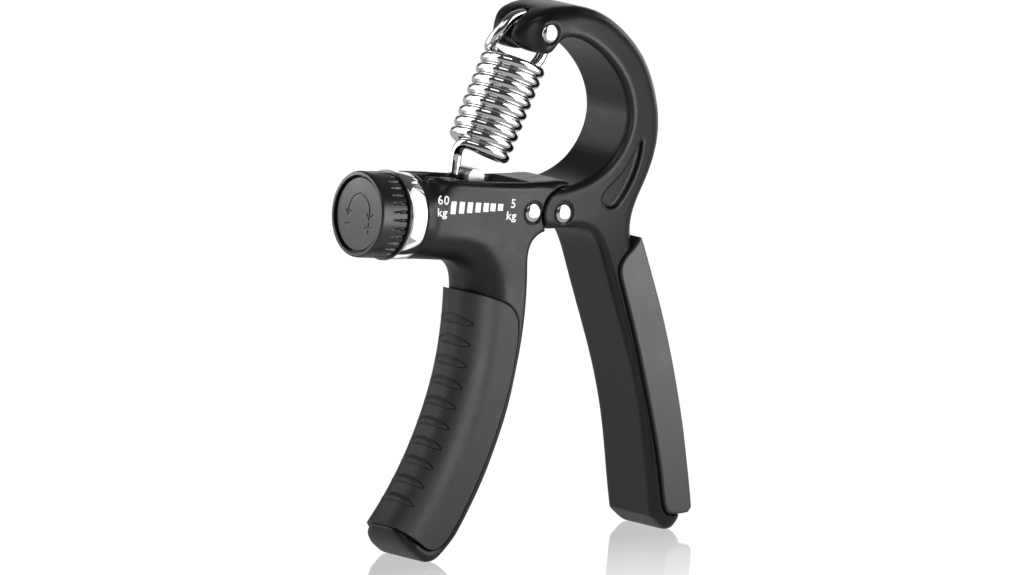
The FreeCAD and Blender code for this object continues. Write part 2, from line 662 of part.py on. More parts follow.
def make_knob():
    knob = body("knob")
    bore = dim.screw_r + 0.04
    skirt_in_r = dim.knob_r - 1.9
    hex_well_r = dim.hex_af * 0.58 + 0.1
    flute_x1 = dim.knob_x1 - 1.1
    revolve_x(knob, "knob_turn", [
        (dim.knob_x0 + 5.2, bore),
        (dim.knob_x1 - 0.6, bore),
        (dim.knob_x1 - 0.6, dim.hub_r),
        (dim.knob_x0 + 4.6, dim.hub_r),
        (dim.knob_x0 + 4.6, skirt_in_r),
        (dim.knob_x1, skirt_in_r),
        (dim.knob_x1, dim.flange_r),
        (dim.knob_x1 - 0.7, dim.flange_r),
        (dim.knob_x1 - 0.7, dim.knob_r - 0.15),
        (flute_x1, dim.knob_r - 0.15),
        (flute_x1, dim.knob_r + 0.2),
        (dim.knob_x0 + 0.9, dim.knob_r),
        (dim.knob_x0 + 0.25, dim.knob_r - 0.25),
        (dim.knob_x0, dim.knob_r - 0.8),
        (dim.knob_x0, dim.rim_in_r),
        (dim.knob_x0 + 1.8, dim.rim_in_r),
        (dim.knob_x0 + 1.8, hex_well_r),
        (dim.knob_x0 + 5.2, hex_well_r)])
    drawn = sketch(knob, "YZ_Plane", "flute_sk", (0, 0, flute_x1))
    circle(drawn, 0, dim.axis_z + dim.knob_r + 0.32, dim.flute_r)
    flute = pocket(knob, "flute", drawn, 5.2)
    # sketch whose horizontal axis is the barrel axis
    axis = sketch(knob, "XZ_Plane", "turn_axis_sk", (0, dim.axis_z, 0))
    axis.addGeometry(Part.LineSegment(V(-60, 0, 0), V(-50, 0, 0)), False)
    doc.recompute()
    ring = knob.newObject("PartDesign::PolarPattern", "flute_ring")
    ring.Originals = [flute]
    ring.Axis = (axis, ["H_Axis"])
    ring.Angle = 360
    ring.Occurrences = int(dim.flutes)
    knob.Tip = ring
    ring.setExpression("Occurrences", dim.flutes.text)


def make_knob_face_disc():
    face_x = dim.knob_x0 + 0.62
    back_x = face_x + dim.disc_t - 0.05
    chamfer = 0.2
    revolve_x(body("knob_face_disc"), "disc_turn", [
        (face_x, 0), (back_x, 0), (back_x, dim.disc_r),
        (face_x + chamfer, dim.disc_r), (face_x, dim.disc_r - chamfer)])


def make_thrust_washer():
    x0 = dim.knob_x1 - 0.02 - 0.5
    x1 = dim.spigot_x0 - 0.03
    bore = dim.screw_r + 0.2
    outside = dim.hub_r - 0.2
    revolve_x(body("thrust_washer"), "washer_turn",
              [(x0, bore), (x1, bore), (x1, outside), (x0, outside)])


# ---------------------------------------------------------------- screw train
def make_thrust_block():
    """Block behind the nut slot that holds the tail of the screw."""
    x0, x1, z0, z1 = -14.9, -6.5, -8.4, 4.3
    part = body("thrust_block")
    drawn = sketch(part, "XZ_Plane", "block_sk")
    polygon(drawn, [(x0, z0), (x1, z0), (x1, z1), (x0, z1)])
    pad(part, "block_pad", drawn, dim.slot_w - 0.2)
    drawn = sketch(part, "XZ_Plane", "block_pin_sk")
    circle(drawn, dim.block_x, dim.block_z, dim.block_pin_r + 0.03)
    pocket(part, "block_pin_hole", drawn, 30, symmetric=True)
    drawn = sketch(part, "YZ_Plane", "tail_sk", (0, 0, x0 - 1))
    circle(drawn, 0, dim.axis_z, dim.tail_r + 0.05)
    pocket(part, "tail_hole", drawn, 3.2)


def make_thread_ridge():
    """Tapered ridge swept along the thread helix, its foot sunk in the root."""
    start = V(dim.thread_x0, 0, dim.axis_z)
    helix = Part.makeLongHelix(dim.lead, dim.thread_x1 - dim.thread_x0, dim.root_r, 0)
    helix.Placement = FreeCAD.Placement(start, FreeCAD.Rotation(V(0, 0, 1), V(1, 0, 0)))
    first = helix.Edges[0].valueAt(helix.Edges[0].FirstParameter)
    outward = first - start
    outward.normalize()
    foot = start + outward * (dim.root_r - 0.15)
    crest = start + outward * dim.screw_r
    corners = [foot - V(0.72, 0, 0), foot + V(0.72, 0, 0),
               crest + V(0.3, 0, 0), crest - V(0.3, 0, 0)]
    profile = Part.makePolygon(corners + corners[:1])
    sweep = Part.BRepOffsetAPI.MakePipeShell(Part.Wire(helix.Edges))
    sweep.setFrenetMode(True)
    sweep.add(Part.Wire(profile.Edges), False, False)
    sweep.build()
    sweep.makeSolid()
    return sweep.shape()


def make_adjust_screw():
    """Hex head, journal, threaded length and tail."""
    head_x0 = dim.knob_x0 + 1.9
    head_x1 = head_x0 + 3.2
    root_x1 = dim.thread_x1 + 0.9
    corner_r = dim.hex_af / 2.0 / math.cos(math.pi / 6)
    hexagon = []
    for i in range(7):
        y, z = polar(corner_r, 60 * i)
        hexagon.append(V(head_x0, y, dim.axis_z + z))
    head = Part.Face(Part.makePolygon(hexagon)).extrude(V(3.2, 0, 0))
    shaft = cylinder_x(dim.screw_r, head_x1, dim.thread_x0)
    root = cylinder_x(dim.root_r, dim.thread_x0, root_x1)
    tail = cylinder_x(dim.tail_r, root_x1, -12.75)
    ridge = make_thread_ridge()
    screw = shaft.fuse(root).fuse(tail).fuse(head)
    # fusing a swept helix can fail or lose volume; the screw then stays plain
    try:
        threaded = screw.fuse(ridge)
        if (threaded.isValid() and len(threaded.Solids) == 1
                and threaded.Volume > screw.Volume + 5):
            screw = threaded
    except Exception:
        pass
    return screw.removeSplitter()


def make_slider_nut():
    """Square nut with an upright lug; the spring hooks on the bar over its window."""
    nut = body("slider_nut")
    drawn = sketch(nut, "XZ_Plane", "nut_sk")
    polygon(drawn, [(dim.nut_x0, dim.nut_z0), (dim.nut_x1, dim.nut_z0),
                    (dim.nut_x1, dim.nut_z1), (dim.nut_x0, dim.nut_z1)])
    pad(nut, "nut_pad", drawn, dim.nut_w)
    drawn = sketch(nut, "XZ_Plane", "lug_sk")
    polygon(drawn, [
        (dim.lug_x0, -2.0), (dim.lug_x1, -2.0),
        (dim.lug_x1, dim.lug_z - 1.6), (dim.lug_x1 - 0.5, dim.lug_z - 0.7),
        (dim.lug_x1 - 1.3, dim.lug_z), (dim.lug_x0 + 1.3, dim.lug_z),
        (dim.lug_x0 + 0.5, dim.lug_z - 0.7), (dim.lug_x0, dim.lug_z - 1.6)])
    pad(nut, "lug_pad", drawn, dim.lug_w)
    drawn = sketch(nut, "XZ_Plane", "window_sk")
    shoulder_z = dim.bar_low + 1.5
    polygon(drawn, [
        (dim.lug_x0 - 2, dim.window_z), (dim.lug_x1 + 2, dim.window_z),
        (dim.lug_x1 + 2, shoulder_z), (dim.lug_x1, shoulder_z),
        (dim.lug_x1 - 1.5, dim.bar_low), (dim.lug_x0 + 1.5, dim.bar_low),
        (dim.lug_x0, shoulder_z), (dim.lug_x0 - 2, shoulder_z)])
    pocket(nut, "hook_window", drawn, dim.window_w, symmetric=True)
    drawn = sketch(nut, "YZ_Plane", "nut_bore_sk", (0, 0, -40))
    circle(drawn, 0, dim.axis_z, dim.screw_r + 0.06)
    pocket(nut, "nut_bore", drawn, 40)


# --------------------------------------------------------- rivets and washers
def make_rivet(label, x, z, radius):
    """Pin with its head on the -Y side, and the cap over its tenon on +Y."""
    seat = dim.body_w / 2 - dim.recess_d
    # (radius, height above the seat) of the domed head
    dome = [(dim.head_r, 0.45), (dim.head_r * 0.8, 0.8),
            (dim.head_r * 0.45, dim.head_d - 0.05), (0, dim.head_d)]
    tenon_y0, tenon_y1 = 8.4, 10.4
    revolve_y(body(label), label + "_turn", [
        (0, tenon_y1), (dim.tenon_r, tenon_y1), (dim.tenon_r, tenon_y0),
        (radius, tenon_y0), (radius, -seat), (dim.head_r, -seat)] +
        [(r, -(seat + height)) for r, height in dome], x, z)

    cap = label + "_cap"
    socket_r = dim.tenon_r + 0.03
    socket_y0, socket_y1 = tenon_y0 + 0.05, tenon_y1 + 0.05
    revolve_y(body(cap), cap + "_turn",
              [(0, socket_y1)] + [(r, seat + height) for r, height in dome[::-1]] +
              [(dim.head_r, seat), (radius, seat), (radius, socket_y0),
               (socket_r, socket_y0), (socket_r, socket_y1)], x, z)


def make_hinge_washers():
    """One washer each side of the tongue."""
    inner_y = dim.tongue_w / 2.0 + 0.03
    outer_y = dim.gap_w / 2.0 - 0.03
    washers = []
    for y0, y1 in ((-outer_y, -inner_y), (inner_y, outer_y)):
        washers.append(cylinder_y(dim.hwash_r, y0, y1, 0, 0).cut(
            cylinder_y(dim.hinge_pin_r + 0.06, y0 - 1, y0 + 2, 0, 0)))
    return Part.makeCompound(washers)


# ------------------------------------------------------------------- spring
def unit(vector):
    result = V(vector)
    result.normalize()
    return result


def bridge(start, start_tangent, end, end_tangent):
    """Five points inside the smooth curve between two ends with tangents."""
    points = []
    for i in range(1, 6):
        u = i / 6.0
        points.append(start * (2 * u ** 3 - 3 * u ** 2 + 1) +
                      start_tangent * (u ** 3 - 2 * u ** 2 + u) +
                      end * (-2 * u ** 3 + 3 * u ** 2) + end_tangent * (u ** 3 - u ** 2))
    return points


def spring_line():
    """Centre line of the wire: pin loop, winding, then the hook on the nut."""
    loop = []
    for k in range(15):
        angle = math.radians(-38 + k * 14.0)
        loop.append(loop_centre + spring_across * (dim.loop_r * math.cos(angle)) +
                    spring_up * (dim.loop_r * math.sin(angle)))
    loop_end = angle

    # winding: angle from spring_across towards -Y, 20 points a turn
    first = math.radians(220)
    last = math.pi + 2 * math.pi * dim.coil_turns - math.radians(34)
    count = int((last - first) / (2 * math.pi) * 20)
    winding = []
    for k in range(count + 1):
        angle = first + (last - first) * k / count
        depth = dim.coil_t0 + 0.25 + dim.pitch * (angle - first) / (2 * math.pi)
        winding.append(spring_pin - spring_up * depth +
                       spring_across * (dim.coil_r * math.cos(angle)) -
                       V(0, 1, 0) * (dim.coil_r * math.sin(angle)))

    span = (winding[0] - loop[-1]).Length
    loop_tangent = unit(spring_across * (-math.sin(loop_end)) +
                        spring_up * math.cos(loop_end))
    entry = bridge(loop[-1], loop_tangent * (span * 1.35),
                   winding[0], unit(winding[1] - winding[0]) * (span * 1.35))

    bar_x = (dim.lug_x0 + dim.lug_x1) / 2.0
    leg = V(bar_x - dim.hook_r, 0, 13.2)
    span = (leg - winding[-1]).Length
    leaving = bridge(winding[-1], unit(winding[-1] - winding[-2]) * (span * 1.45),
                     leg, V(0, 0, -1) * (span * 1.3))

    hook = [leg, V(bar_x - dim.hook_r, 0, dim.bar_z + 2.0)]
    for k in range(11):
        angle = math.pi + k * math.pi / 10
        hook.append(V(bar_x + dim.hook_r * math.cos(angle), 0,
                      dim.bar_z + dim.hook_r * math.sin(angle)))
    line = Part.BSplineCurve()
    line.interpolate(Points=loop + entry + winding + leaving + hook)
    return line


def make_spring():
    """Round wire skinned over rings of points carried along the centre line."""
    line = spring_line()
    length = line.length()
    steps = int(length / 1.6)
    ring_points = 12
    rings = []
    side = V(0, 1, 0)
    for i in range(steps + 1):
        parameter = line.parameterAtDistance(length * i / steps)
        centre = line.value(parameter)
        tangent = unit(line.tangent(parameter)[0])
        # the last side direction made square to the new tangent: no twist
        side = unit(side - tangent * side.dot(tangent))
        across = tangent.cross(side)
        ring = []
        for j in range(ring_points):
            angle = 2 * math.pi * j / ring_points
            ring.append(centre + side * (dim.wire_r * math.cos(angle)) +
                        across * (dim.wire_r * math.sin(angle)))
        rings.append(ring + ring[:1])
    skin = Part.BSplineSurface()
    skin.interpolate(rings)

    # skin in two halves round the wire
    u0, u1, v0, v1 = skin.bounds()
    middle = (v0 + v1) / 2
    halves = []
    for low, high in ((v0, middle), (middle, v1)):
        half = skin.copy()
        half.segment(u0, u1, low, high)
        halves.append(half.toShape())

    # flat caps on the two wire ends
    faces = list(halves)
    for end in (line.value(line.FirstParameter), line.value(line.LastParameter)):
        rim = [e for half in halves for e in half.Edges
               if e.Length < 8 and (e.CenterOfMass - end).Length < 3]
        faces.append(Part.makeFace([Part.Wire(Part.__sortEdges__(rim))],
                                   "Part::FaceMakerBullseye"))
    shell = Part.makeShell(faces)
    shell.sewShape()
    spring = Part.makeSolid(shell)
    if spring.Volume < 0:
        spring.reverse()
    return spring


# ------------------------------------------------------------ build and export
rear_handle = make_rear_handle()
feature("rear_handle", rear_handle)
feature("rear_grip_pad", make_rear_pad(rear_handle))
front_handle = make_front_handle()
feature("front_handle", front_handle)
feature("front_grip", make_front_grip(front_handle))
make_collar_ring()
make_front_bush()
make_knob()
make_knob_face_disc()
make_thrust_washer()
make_thrust_block()
feature("adjust_screw", make_adjust_screw())
make_slider_nut()
make_rivet("hinge_pin", 0, 0, dim.hinge_pin_r)
make_rivet("spring_pin", dim.spring_x, dim.spring_z, dim.hinge_pin_r)
make_rivet("block_pin", dim.block_x, dim.block_z, dim.block_pin_r)
feature("hinge_washers", make_hinge_washers())
feature("tension_spring", make_spring())

doc.recompute()
for piece in pieces:
    place(piece)
doc.recompute()

problems = [o.Label for o in doc.Objects if "Invalid" in o.State or "Error" in o.State]
for piece in pieces:
    solid = piece.Shape
    if solid.isNull() or not solid.isValid() or solid.Volume <= 0:
        problems.append(piece.Label)
        continue
    solid.exportStep("parts/%s.step" % piece.Label)
if problems:
    raise SystemExit("problems: " + ", ".join(problems))
print("wrote", len(pieces), "parts")
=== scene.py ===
"""Hand gripper with adjustable resistance: two handles hinged near the top, a
stretched spring between them and a knob that sets its load (5 to 60 kg).

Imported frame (metres): x runs from the knob to the rear handle, y across, z up,
with the floor at z = 0.  The near side is -y.
Design frame (millimetres): origin on the main hinge, x along the barrel towards
the rear handle, z square to it, y across.  Shapes are drawn in the design frame.
"""
import bisect
import json
import math

import bmesh
import bpy
import numpy as np
from mathutils import Matrix, Vector
from mathutils.bvhtree import BVHTree

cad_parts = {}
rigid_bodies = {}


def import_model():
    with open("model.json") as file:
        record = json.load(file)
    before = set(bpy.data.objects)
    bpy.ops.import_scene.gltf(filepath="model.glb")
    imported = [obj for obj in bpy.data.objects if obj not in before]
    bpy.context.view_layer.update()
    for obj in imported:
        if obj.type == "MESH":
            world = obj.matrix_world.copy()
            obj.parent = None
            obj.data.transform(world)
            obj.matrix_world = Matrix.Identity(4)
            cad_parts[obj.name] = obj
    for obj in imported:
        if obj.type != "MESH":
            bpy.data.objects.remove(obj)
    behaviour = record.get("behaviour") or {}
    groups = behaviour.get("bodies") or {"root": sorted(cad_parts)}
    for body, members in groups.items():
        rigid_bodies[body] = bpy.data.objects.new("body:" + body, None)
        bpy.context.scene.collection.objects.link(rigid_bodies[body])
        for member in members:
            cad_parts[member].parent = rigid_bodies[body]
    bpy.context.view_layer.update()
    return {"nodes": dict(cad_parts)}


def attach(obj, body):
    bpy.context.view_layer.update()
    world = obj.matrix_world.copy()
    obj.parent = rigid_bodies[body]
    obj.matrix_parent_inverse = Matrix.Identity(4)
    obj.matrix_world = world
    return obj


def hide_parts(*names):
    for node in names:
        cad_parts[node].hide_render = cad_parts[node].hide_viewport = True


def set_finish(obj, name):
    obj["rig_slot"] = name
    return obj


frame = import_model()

NODES = frame["nodes"]
SCENE = bpy.context.scene

# ------------------------------------------------------------------ frames
MM = 0.001
TILT = math.radians(7.5)                # the barrel drops towards the rear handle
COS_T, SIN_T = math.cos(TILT), math.sin(TILT)
HINGE_X, HINGE_Z = 10.365, 93.4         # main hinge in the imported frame, mm

DESIGN_TO_PACKED = Matrix(((COS_T * MM, 0, SIN_T * MM, HINGE_X * MM),
                           (0, MM, 0, 0),
                           (-SIN_T * MM, 0, COS_T * MM, HINGE_Z * MM),
                           (0, 0, 0, 1)))
PACKED_TO_DESIGN = DESIGN_TO_PACKED.inverted()

# Places in the design frame, (x, z) in mm
HINGE_PIN = (0.0, 0.0)
SPRING_PIN = (-11.2, 49.9)
BLOCK_PIN = (-10.6, -0.1)
SPRING_FOOT = (-26.775, 8.5)            # lower end of the spring, carried by the nut
KNOB_AXIS_Z = -3.4                      # the knob and collar ring turn about this line


def packed(x, y, z):
    """Design millimetres to packed metres."""
    return Vector(((HINGE_X + x * COS_T + z * SIN_T) * MM, y * MM,
                   (HINGE_Z - x * SIN_T + z * COS_T) * MM))


# ------------------------------------------------------------ node helpers
def add_node(tree, kind, inputs=None, **settings):
    """Add a node; inputs maps a socket name or index to a value or an output."""
    node = tree.nodes.new(kind)
    for key, value in settings.items():
        setattr(node, key, value)
    for key, value in (inputs or {}).items():
        if isinstance(value, bpy.types.NodeSocket):
            tree.links.new(value, node.inputs[key])
        else:
            node.inputs[key].default_value = value
    return node


def new_material(name):
    material = bpy.data.materials.new(name)
    material.use_nodes = True
    material.node_tree.nodes.clear()
    return material, material.node_tree


def noise(tree, vector, scale, detail):
    return add_node(tree, "ShaderNodeTexNoise", {
        "Scale": scale, "Detail": detail, "Roughness": 0.55, "Vector": vector}).outputs["Fac"]


def map_range(tree, value, from_min, from_max, to_min, to_max):
    return add_node(tree, "ShaderNodeMapRange", {
        "From Min": from_min, "From Max": from_max, "To Min": to_min, "To Max": to_max,
        "Value": value}, clamp=True).outputs["Result"]


def math_node(tree, operation, a, b):
    return add_node(tree, "ShaderNodeMath", {0: a, 1: b}, operation=operation).outputs[0]


def vector_node(tree, operation, a, b=None, scale=None):
    inputs = {0: a}
    if b is not None:
        inputs[1] = b
    if scale is not None:
        inputs["Scale"] = scale
    node = add_node(tree, "ShaderNodeVectorMath", inputs, operation=operation)
    return node.outputs["Value" if operation in ("DOT_PRODUCT", "LENGTH") else "Vector"]


# --------------------------------------------------------------- materials
def surface(name, color, roughness, metallic=0.0, specular=0.5, grain=3500.0,
            relief=0.00002, mottle=160.0, rough_var=0.08, color_var=0.12,
            edge_polish=0.0, scratches=0.0, pits=0.0, glow=0.0):
    """Mottled colour, uneven roughness and a fine grain.

    grain and mottle are noise scales per metre, relief the bump depth in metres,
    rough_var and color_var the spread about the mean.  edge_polish is the
    roughness lost at edges; scratches and pits weigh their share of the relief.
    """
    material, tree = new_material(name)
    object_co = add_node(tree, "ShaderNodeTexCoord").outputs["Object"]
    vector = add_node(tree, "ShaderNodeMapping", {"Vector": object_co}).outputs["Vector"]
    broad = noise(tree, vector, mottle, detail=3.0)
    fine = noise(tree, vector, grain, detail=2.0)
    middle = noise(tree, vector, grain * 0.28, detail=3.0)

    # colour: sockets 6 and 7 are the two colours of the mix, output 2 its result
    mixed = add_node(tree, "ShaderNodeMix", {
        6: tuple(c * (1 - color_var) for c in color) + (1,),
        7: tuple(min(1, c * (1 + color_var)) for c in color) + (1,),
        0: map_range(tree, broad, 0.3, 0.7, 0, 1)}, data_type="RGBA").outputs[2]

    # roughness: broad patches plus half as much fine variation
    rough = math_node(
        tree, "ADD",
        map_range(tree, broad, 0.3, 0.7, roughness - rough_var, roughness + rough_var),
        map_range(tree, fine, 0.3, 0.7, -rough_var * 0.5, rough_var * 0.5))
    if edge_polish > 0:
        # an edge is where the bevelled normal leaves the true one
        bevel = add_node(tree, "ShaderNodeBevel", {"Radius": 0.0009}, samples=4)
        geometry = add_node(tree, "ShaderNodeNewGeometry")
        agreement = vector_node(tree, "DOT_PRODUCT", bevel.outputs["Normal"],
                                geometry.outputs["Normal"])
        edge = map_range(tree, agreement, 0.80, 0.995, 1.0, 0.0)
        rough = math_node(tree, "SUBTRACT", rough,
                          math_node(tree, "MULTIPLY", edge, edge_polish))
    rough = math_node(tree, "MAXIMUM", rough, 0.03)

    # relief: 60 % fine grain, 40 % middle grain
    height = math_node(tree, "ADD", math_node(tree, "MULTIPLY", fine, 0.6),
                       math_node(tree, "MULTIPLY", middle, 0.4))
    if pits > 0:
        cells = add_node(tree, "ShaderNodeTexVoronoi", {"Scale": grain * 0.5, "Vector": vector})
        height = math_node(tree, "ADD", height,
                           math_node(tree, "MULTIPLY", cells.outputs["Distance"], pits))
    if scratches > 0:
        # noise squeezed along one slanted direction reads as fine scratches
        squeezed = add_node(tree, "ShaderNodeMapping", {
            "Scale": (1.0, 14.0, 1.0), "Rotation": (0.4, 0.9, 0.3), "Vector": object_co})
        lines = noise(tree, squeezed.outputs["Vector"], grain * 0.35, detail=2.0)
        height = math_node(tree, "ADD", height,
                           math_node(tree, "MULTIPLY", lines, scratches))
    bump = add_node(tree, "ShaderNodeBump",
                    {"Strength": 1.0, "Distance": relief, "Height": height})

    shader = {"Base Color": mixed, "Roughness": rough, "Metallic": metallic,
              "Specular IOR Level": specular, "Normal": bump.outputs["Normal"]}
    # glow makes the colour shine by itself: painted light, not a lamp
    if glow:
        shader.update({"Emission Color": mixed, "Emission Strength": glow})
    bsdf = add_node(tree, "ShaderNodeBsdfPrincipled", shader)
    add_node(tree, "ShaderNodeOutputMaterial", {"Surface": bsdf.outputs["BSDF"]})
    material.diffuse_color = tuple(color) + (1,)
    return material


SURFACES = {
    "hard_plastic": dict(color=(0.010, 0.010, 0.0105), roughness=0.36, grain=2600,
                         relief=0.000035, rough_var=0.05, edge_polish=0.10, mottle=120,
                         specular=0.55),
    "soft_grip": dict(color=(0.030, 0.030, 0.0305), roughness=0.46, grain=3600,
                      relief=0.000045, rough_var=0.05, mottle=90, specular=0.42, pits=0.25),
    "chrome": dict(color=(0.86, 0.86, 0.87), roughness=0.07, metallic=1.0, grain=5200,
                   relief=0.0000025, rough_var=0.03, color_var=0.02, scratches=0.8),
    "spring_chrome": dict(color=(0.88, 0.88, 0.89), roughness=0.07, metallic=1.0, grain=4200,
                          relief=0.0000012, rough_var=0.03, color_var=0.03, scratches=0.6),
    "rivet_chrome": dict(color=(0.84, 0.84, 0.85), roughness=0.13, metallic=1.0, grain=4800,
                         relief=0.000005, rough_var=0.04, color_var=0.03, scratches=0.9),
    "bearing_brass": dict(color=(0.62, 0.42, 0.16), roughness=0.30, metallic=1.0, grain=4000,
                          relief=0.000008),
    "knob_plastic": dict(color=(0.016, 0.016, 0.0165), roughness=0.35, grain=3000,
                         relief=0.00001, rough_var=0.05, edge_polish=0.08, mottle=150,
                         specular=0.9),
    "satin_disc": dict(color=(0.044, 0.044, 0.046), roughness=0.33, grain=3800,
                       relief=0.000004, rough_var=0.05, mottle=200, specular=0.6),
    "washer_plastic": dict(color=(0.70, 0.69, 0.66), roughness=0.45, grain=3800,
                           relief=0.00002),
    "zinc": dict(color=(0.45, 0.46, 0.48), roughness=0.34, metallic=1.0, grain=2600,
                 relief=0.00002, rough_var=0.08),
    "screw_steel": dict(color=(0.55, 0.55, 0.56), roughness=0.28, metallic=1.0, grain=3600,
                        relief=0.00001),
    # white print, made to glow as painted light that keeps it bright
    "print_white_glowing": dict(color=(0.85, 0.85, 0.84), roughness=0.50, grain=4200,
                        relief=0.00001, color_var=0.04, glow=0.75),
    # near black for thin ribbons that paint shade along edges and round ribs
    "painted_shade_black": dict(color=(0.006, 0.006, 0.006), roughness=0.55, grain=3200,
                         relief=0.00002),
}
MATERIALS = {name: surface(name, **values) for name, values in SURFACES.items()}

# CAD pieces of each material slot; every other piece is hard plastic
SLOT_PIECES = {
    "soft_grip": ("front_grip", "rear_grip_pad"),
    "chrome": ("collar_ring",),
    "bearing_brass": ("front_bush",),
    "knob_plastic": ("knob",),
    "satin_disc": ("knob_face_disc",),
    "washer_plastic": ("thrust_washer", "hinge_washers"),
    "zinc": ("slider_nut", "thrust_block"),
    "screw_steel": ("adjust_screw",),
    "rivet_chrome": ("hinge_pin", "hinge_pin_cap", "block_pin", "block_pin_cap",
                     "spring_pin", "spring_pin_cap"),
    "spring_chrome": ("tension_spring",),
}
SLOT_OF = {piece: slot for slot, pieces in SLOT_PIECES.items() for piece in pieces}
for node_name, node_object in NODES.items():
    slot_name = SLOT_OF.get(node_name, "hard_plastic")
    node_object.data.materials.clear()
    node_object.data.materials.append(MATERIALS[slot_name])
    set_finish(node_object, slot_name)

# The glowing print and the painted shade lines belong to the hard plastic slot
SHARED_SLOT = {"print_white_glowing": "hard_plastic", "painted_shade_black": "hard_plastic"}


# ------------------------------------------------------------ mesh helpers
def hang(name, mesh, slot, body, replaces=()):
    """Make the object of a mesh and hang it on a body."""
    built = bpy.data.objects.new(name, mesh)
    SCENE.collection.objects.link(built)
    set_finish(built, slot)
    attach(built, body)
    if replaces:
        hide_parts(*replaces)
    return built


def add_piece(name, verts, faces, material, body, smooth=True, sharp=None, replaces=()):
    """Build a piece from design millimetres; sharp is the crease angle in degrees."""
    mesh = bpy.data.meshes.new(name)
    mesh.from_pydata([tuple(packed(*v)) for v in verts], [], faces)
    mesh.update()
    mesh.materials.append(MATERIALS[material])
    work = bmesh.new()
    work.from_mesh(mesh)
    bmesh.ops.recalc_face_normals(work, faces=work.faces)
    if sharp is not None:
        limit = math.radians(sharp)
        for edge in work.edges:
            if len(edge.link_faces) == 2 and edge.calc_face_angle(0) > limit:
                edge.smooth = False
    for face in work.faces:
        face.smooth = smooth
    work.to_mesh(mesh)
    work.free()
    return hang(name, mesh, SHARED_SLOT.get(material, material), body, replaces)


def turned(profile, count, axis, centre, cut=None):
    """Turned part about the 'x' or 'y' axis; profile rows are (along, radius).

    centre is (y, z) or (x, z); cut(along, radius, step) may change the radius.
    """
    verts, faces = [], []
    for along, radius in profile:
        for j in range(count):
            angle = 2 * math.pi * j / count
            r = cut(along, radius, j) if cut else radius
            side, up = centre[0] + r * math.sin(angle), centre[1] + r * math.cos(angle)
            verts.append((along, side, up) if axis == "x" else (side, along, up))
    for i in range(len(profile) - 1):
        for j in range(count):
            k = (j + 1) % count
            faces.append((i * count + j, i * count + k,
                          (i + 1) * count + k, (i + 1) * count + j))
    return verts, faces


def catmull_rom(points, steps):
    """Smooth curve through (x, z) points."""
    def beyond(end, inner):
        return tuple(2 * end[k] - inner[k] for k in (0, 1))

    padded = [beyond(points[0], points[1])] + list(points) + [beyond(points[-1], points[-2])]
    curve = []
    for i in range(1, len(padded) - 2):
        a, b, c, d = padded[i - 1:i + 3]
        for j in range(steps):
            t = j / steps
            curve.append(tuple(
                0.5 * (2 * b[k] + (c[k] - a[k]) * t
                       + (2 * a[k] - 5 * b[k] + 4 * c[k] - d[k]) * t * t
                       + (3 * b[k] - a[k] - 3 * c[k] + d[k]) * t ** 3) for k in (0, 1)))
    curve.append(points[-1])
    return curve


def design_tree(mesh):
    """Ray-casting tree of a mesh, in design millimetres."""
    return BVHTree.FromPolygons([tuple(PACKED_TO_DESIGN @ v.co) for v in mesh.vertices],
                                [tuple(p.vertices) for p in mesh.polygons])


def surface_y(tree, x, z, side, start):
    """y of the cheek at (x, z), cast inwards from |y| = start; side -1 is near."""
    hit = tree.ray_cast(Vector((x, side * start, z)), Vector((0, -side, 0)))[0]
    return hit.y if hit is not None else side * 11.0


# ------------------------------------------------------------------ rivets
POINT_R = 0.001                 # stands for a radius of nothing
RIVET_R = 2.60
RIVET_LIP_R = 2.50
RIVET_EDGE = 0.30               # height of the rolled edge
RIVET_DOME = 0.75               # height of the dome above the edge
RIVET_STEPS = 12


def rivet_head(y, side, shank):
    rows = [(y, shank), (y, RIVET_LIP_R), (y + side * 0.10, RIVET_R),
            (y + side * RIVET_EDGE, RIVET_R)]
    for k in range(1, RIVET_STEPS + 1):
        angle = math.radians(90) * k / RIVET_STEPS
        rows.append((y + side * (RIVET_EDGE + RIVET_DOME * math.sin(angle) ** 0.95),
                     max(POINT_R, RIVET_R * math.cos(angle) ** 0.80)))
    return rows


def build_rivet(kind, centre, shank, body):
    """Near head with the shank, and the far head with a plug inside the end."""
    near = [(10.35, POINT_R), (10.35, shank), (-10.30, shank)] + rivet_head(-10.31, -1, shank)
    plug = shank - 0.35
    far = [(8.45, POINT_R), (8.45, plug), (10.30, plug), (10.30, shank)]
    far += rivet_head(10.31, 1, shank)
    for profile, tail, node in ((near, "", "_pin"), (far, "_far", "_pin_cap")):
        add_piece(f"vis_{kind}_rivet{tail}", *turned(profile, 56, "y", centre), "rivet_chrome",
                  body, sharp=50, replaces=(kind + node,))


build_rivet("hinge", HINGE_PIN, shank=2.0, body="rear")
build_rivet("spring", SPRING_PIN, shank=2.0, body="rear")
build_rivet("block", BLOCK_PIN, shank=1.5, body="front")

# -------------------------------------------------------------------- knob
KNOB_R = 12.0
FLUTES, FLUTE_STEPS = 32, 14            # steps round the knob per flute
FLUTE_START = -59.55                    # x where the flutes begin as points
FLUTE_LENGTH = 5.0

# (x, radius): chamfered rim and front band, flutes, then a thin rear flange
KNOB_FRONT = [
    (-58.6, 4.2), (-61.4, 4.2), (-61.4, 10.75), (-63.05, 10.75), (-63.18, 10.86),
    (-63.18, 11.60), (-63.05, 11.78), (-62.75, 11.92), (-62.3, 11.98), (-61.8, KNOB_R),
    (-61.0, KNOB_R), (-60.2, KNOB_R)]
KNOB_FLUTED = [(-59.7 + 0.16 * i, KNOB_R) for i in range(31)]
KNOB_BACK = [
    (-54.62, KNOB_R), (-54.55, 11.95), (-54.5, 11.6), (-54.22, 11.6), (-54.16, 11.9),
    (-54.1, 12.42), (-53.95, 12.53), (-53.6, 12.53), (-53.45, 12.42), (-53.4, 12.2),
    (-53.4, 10.1), (-58.6, 10.1), (-58.6, 4.2)]


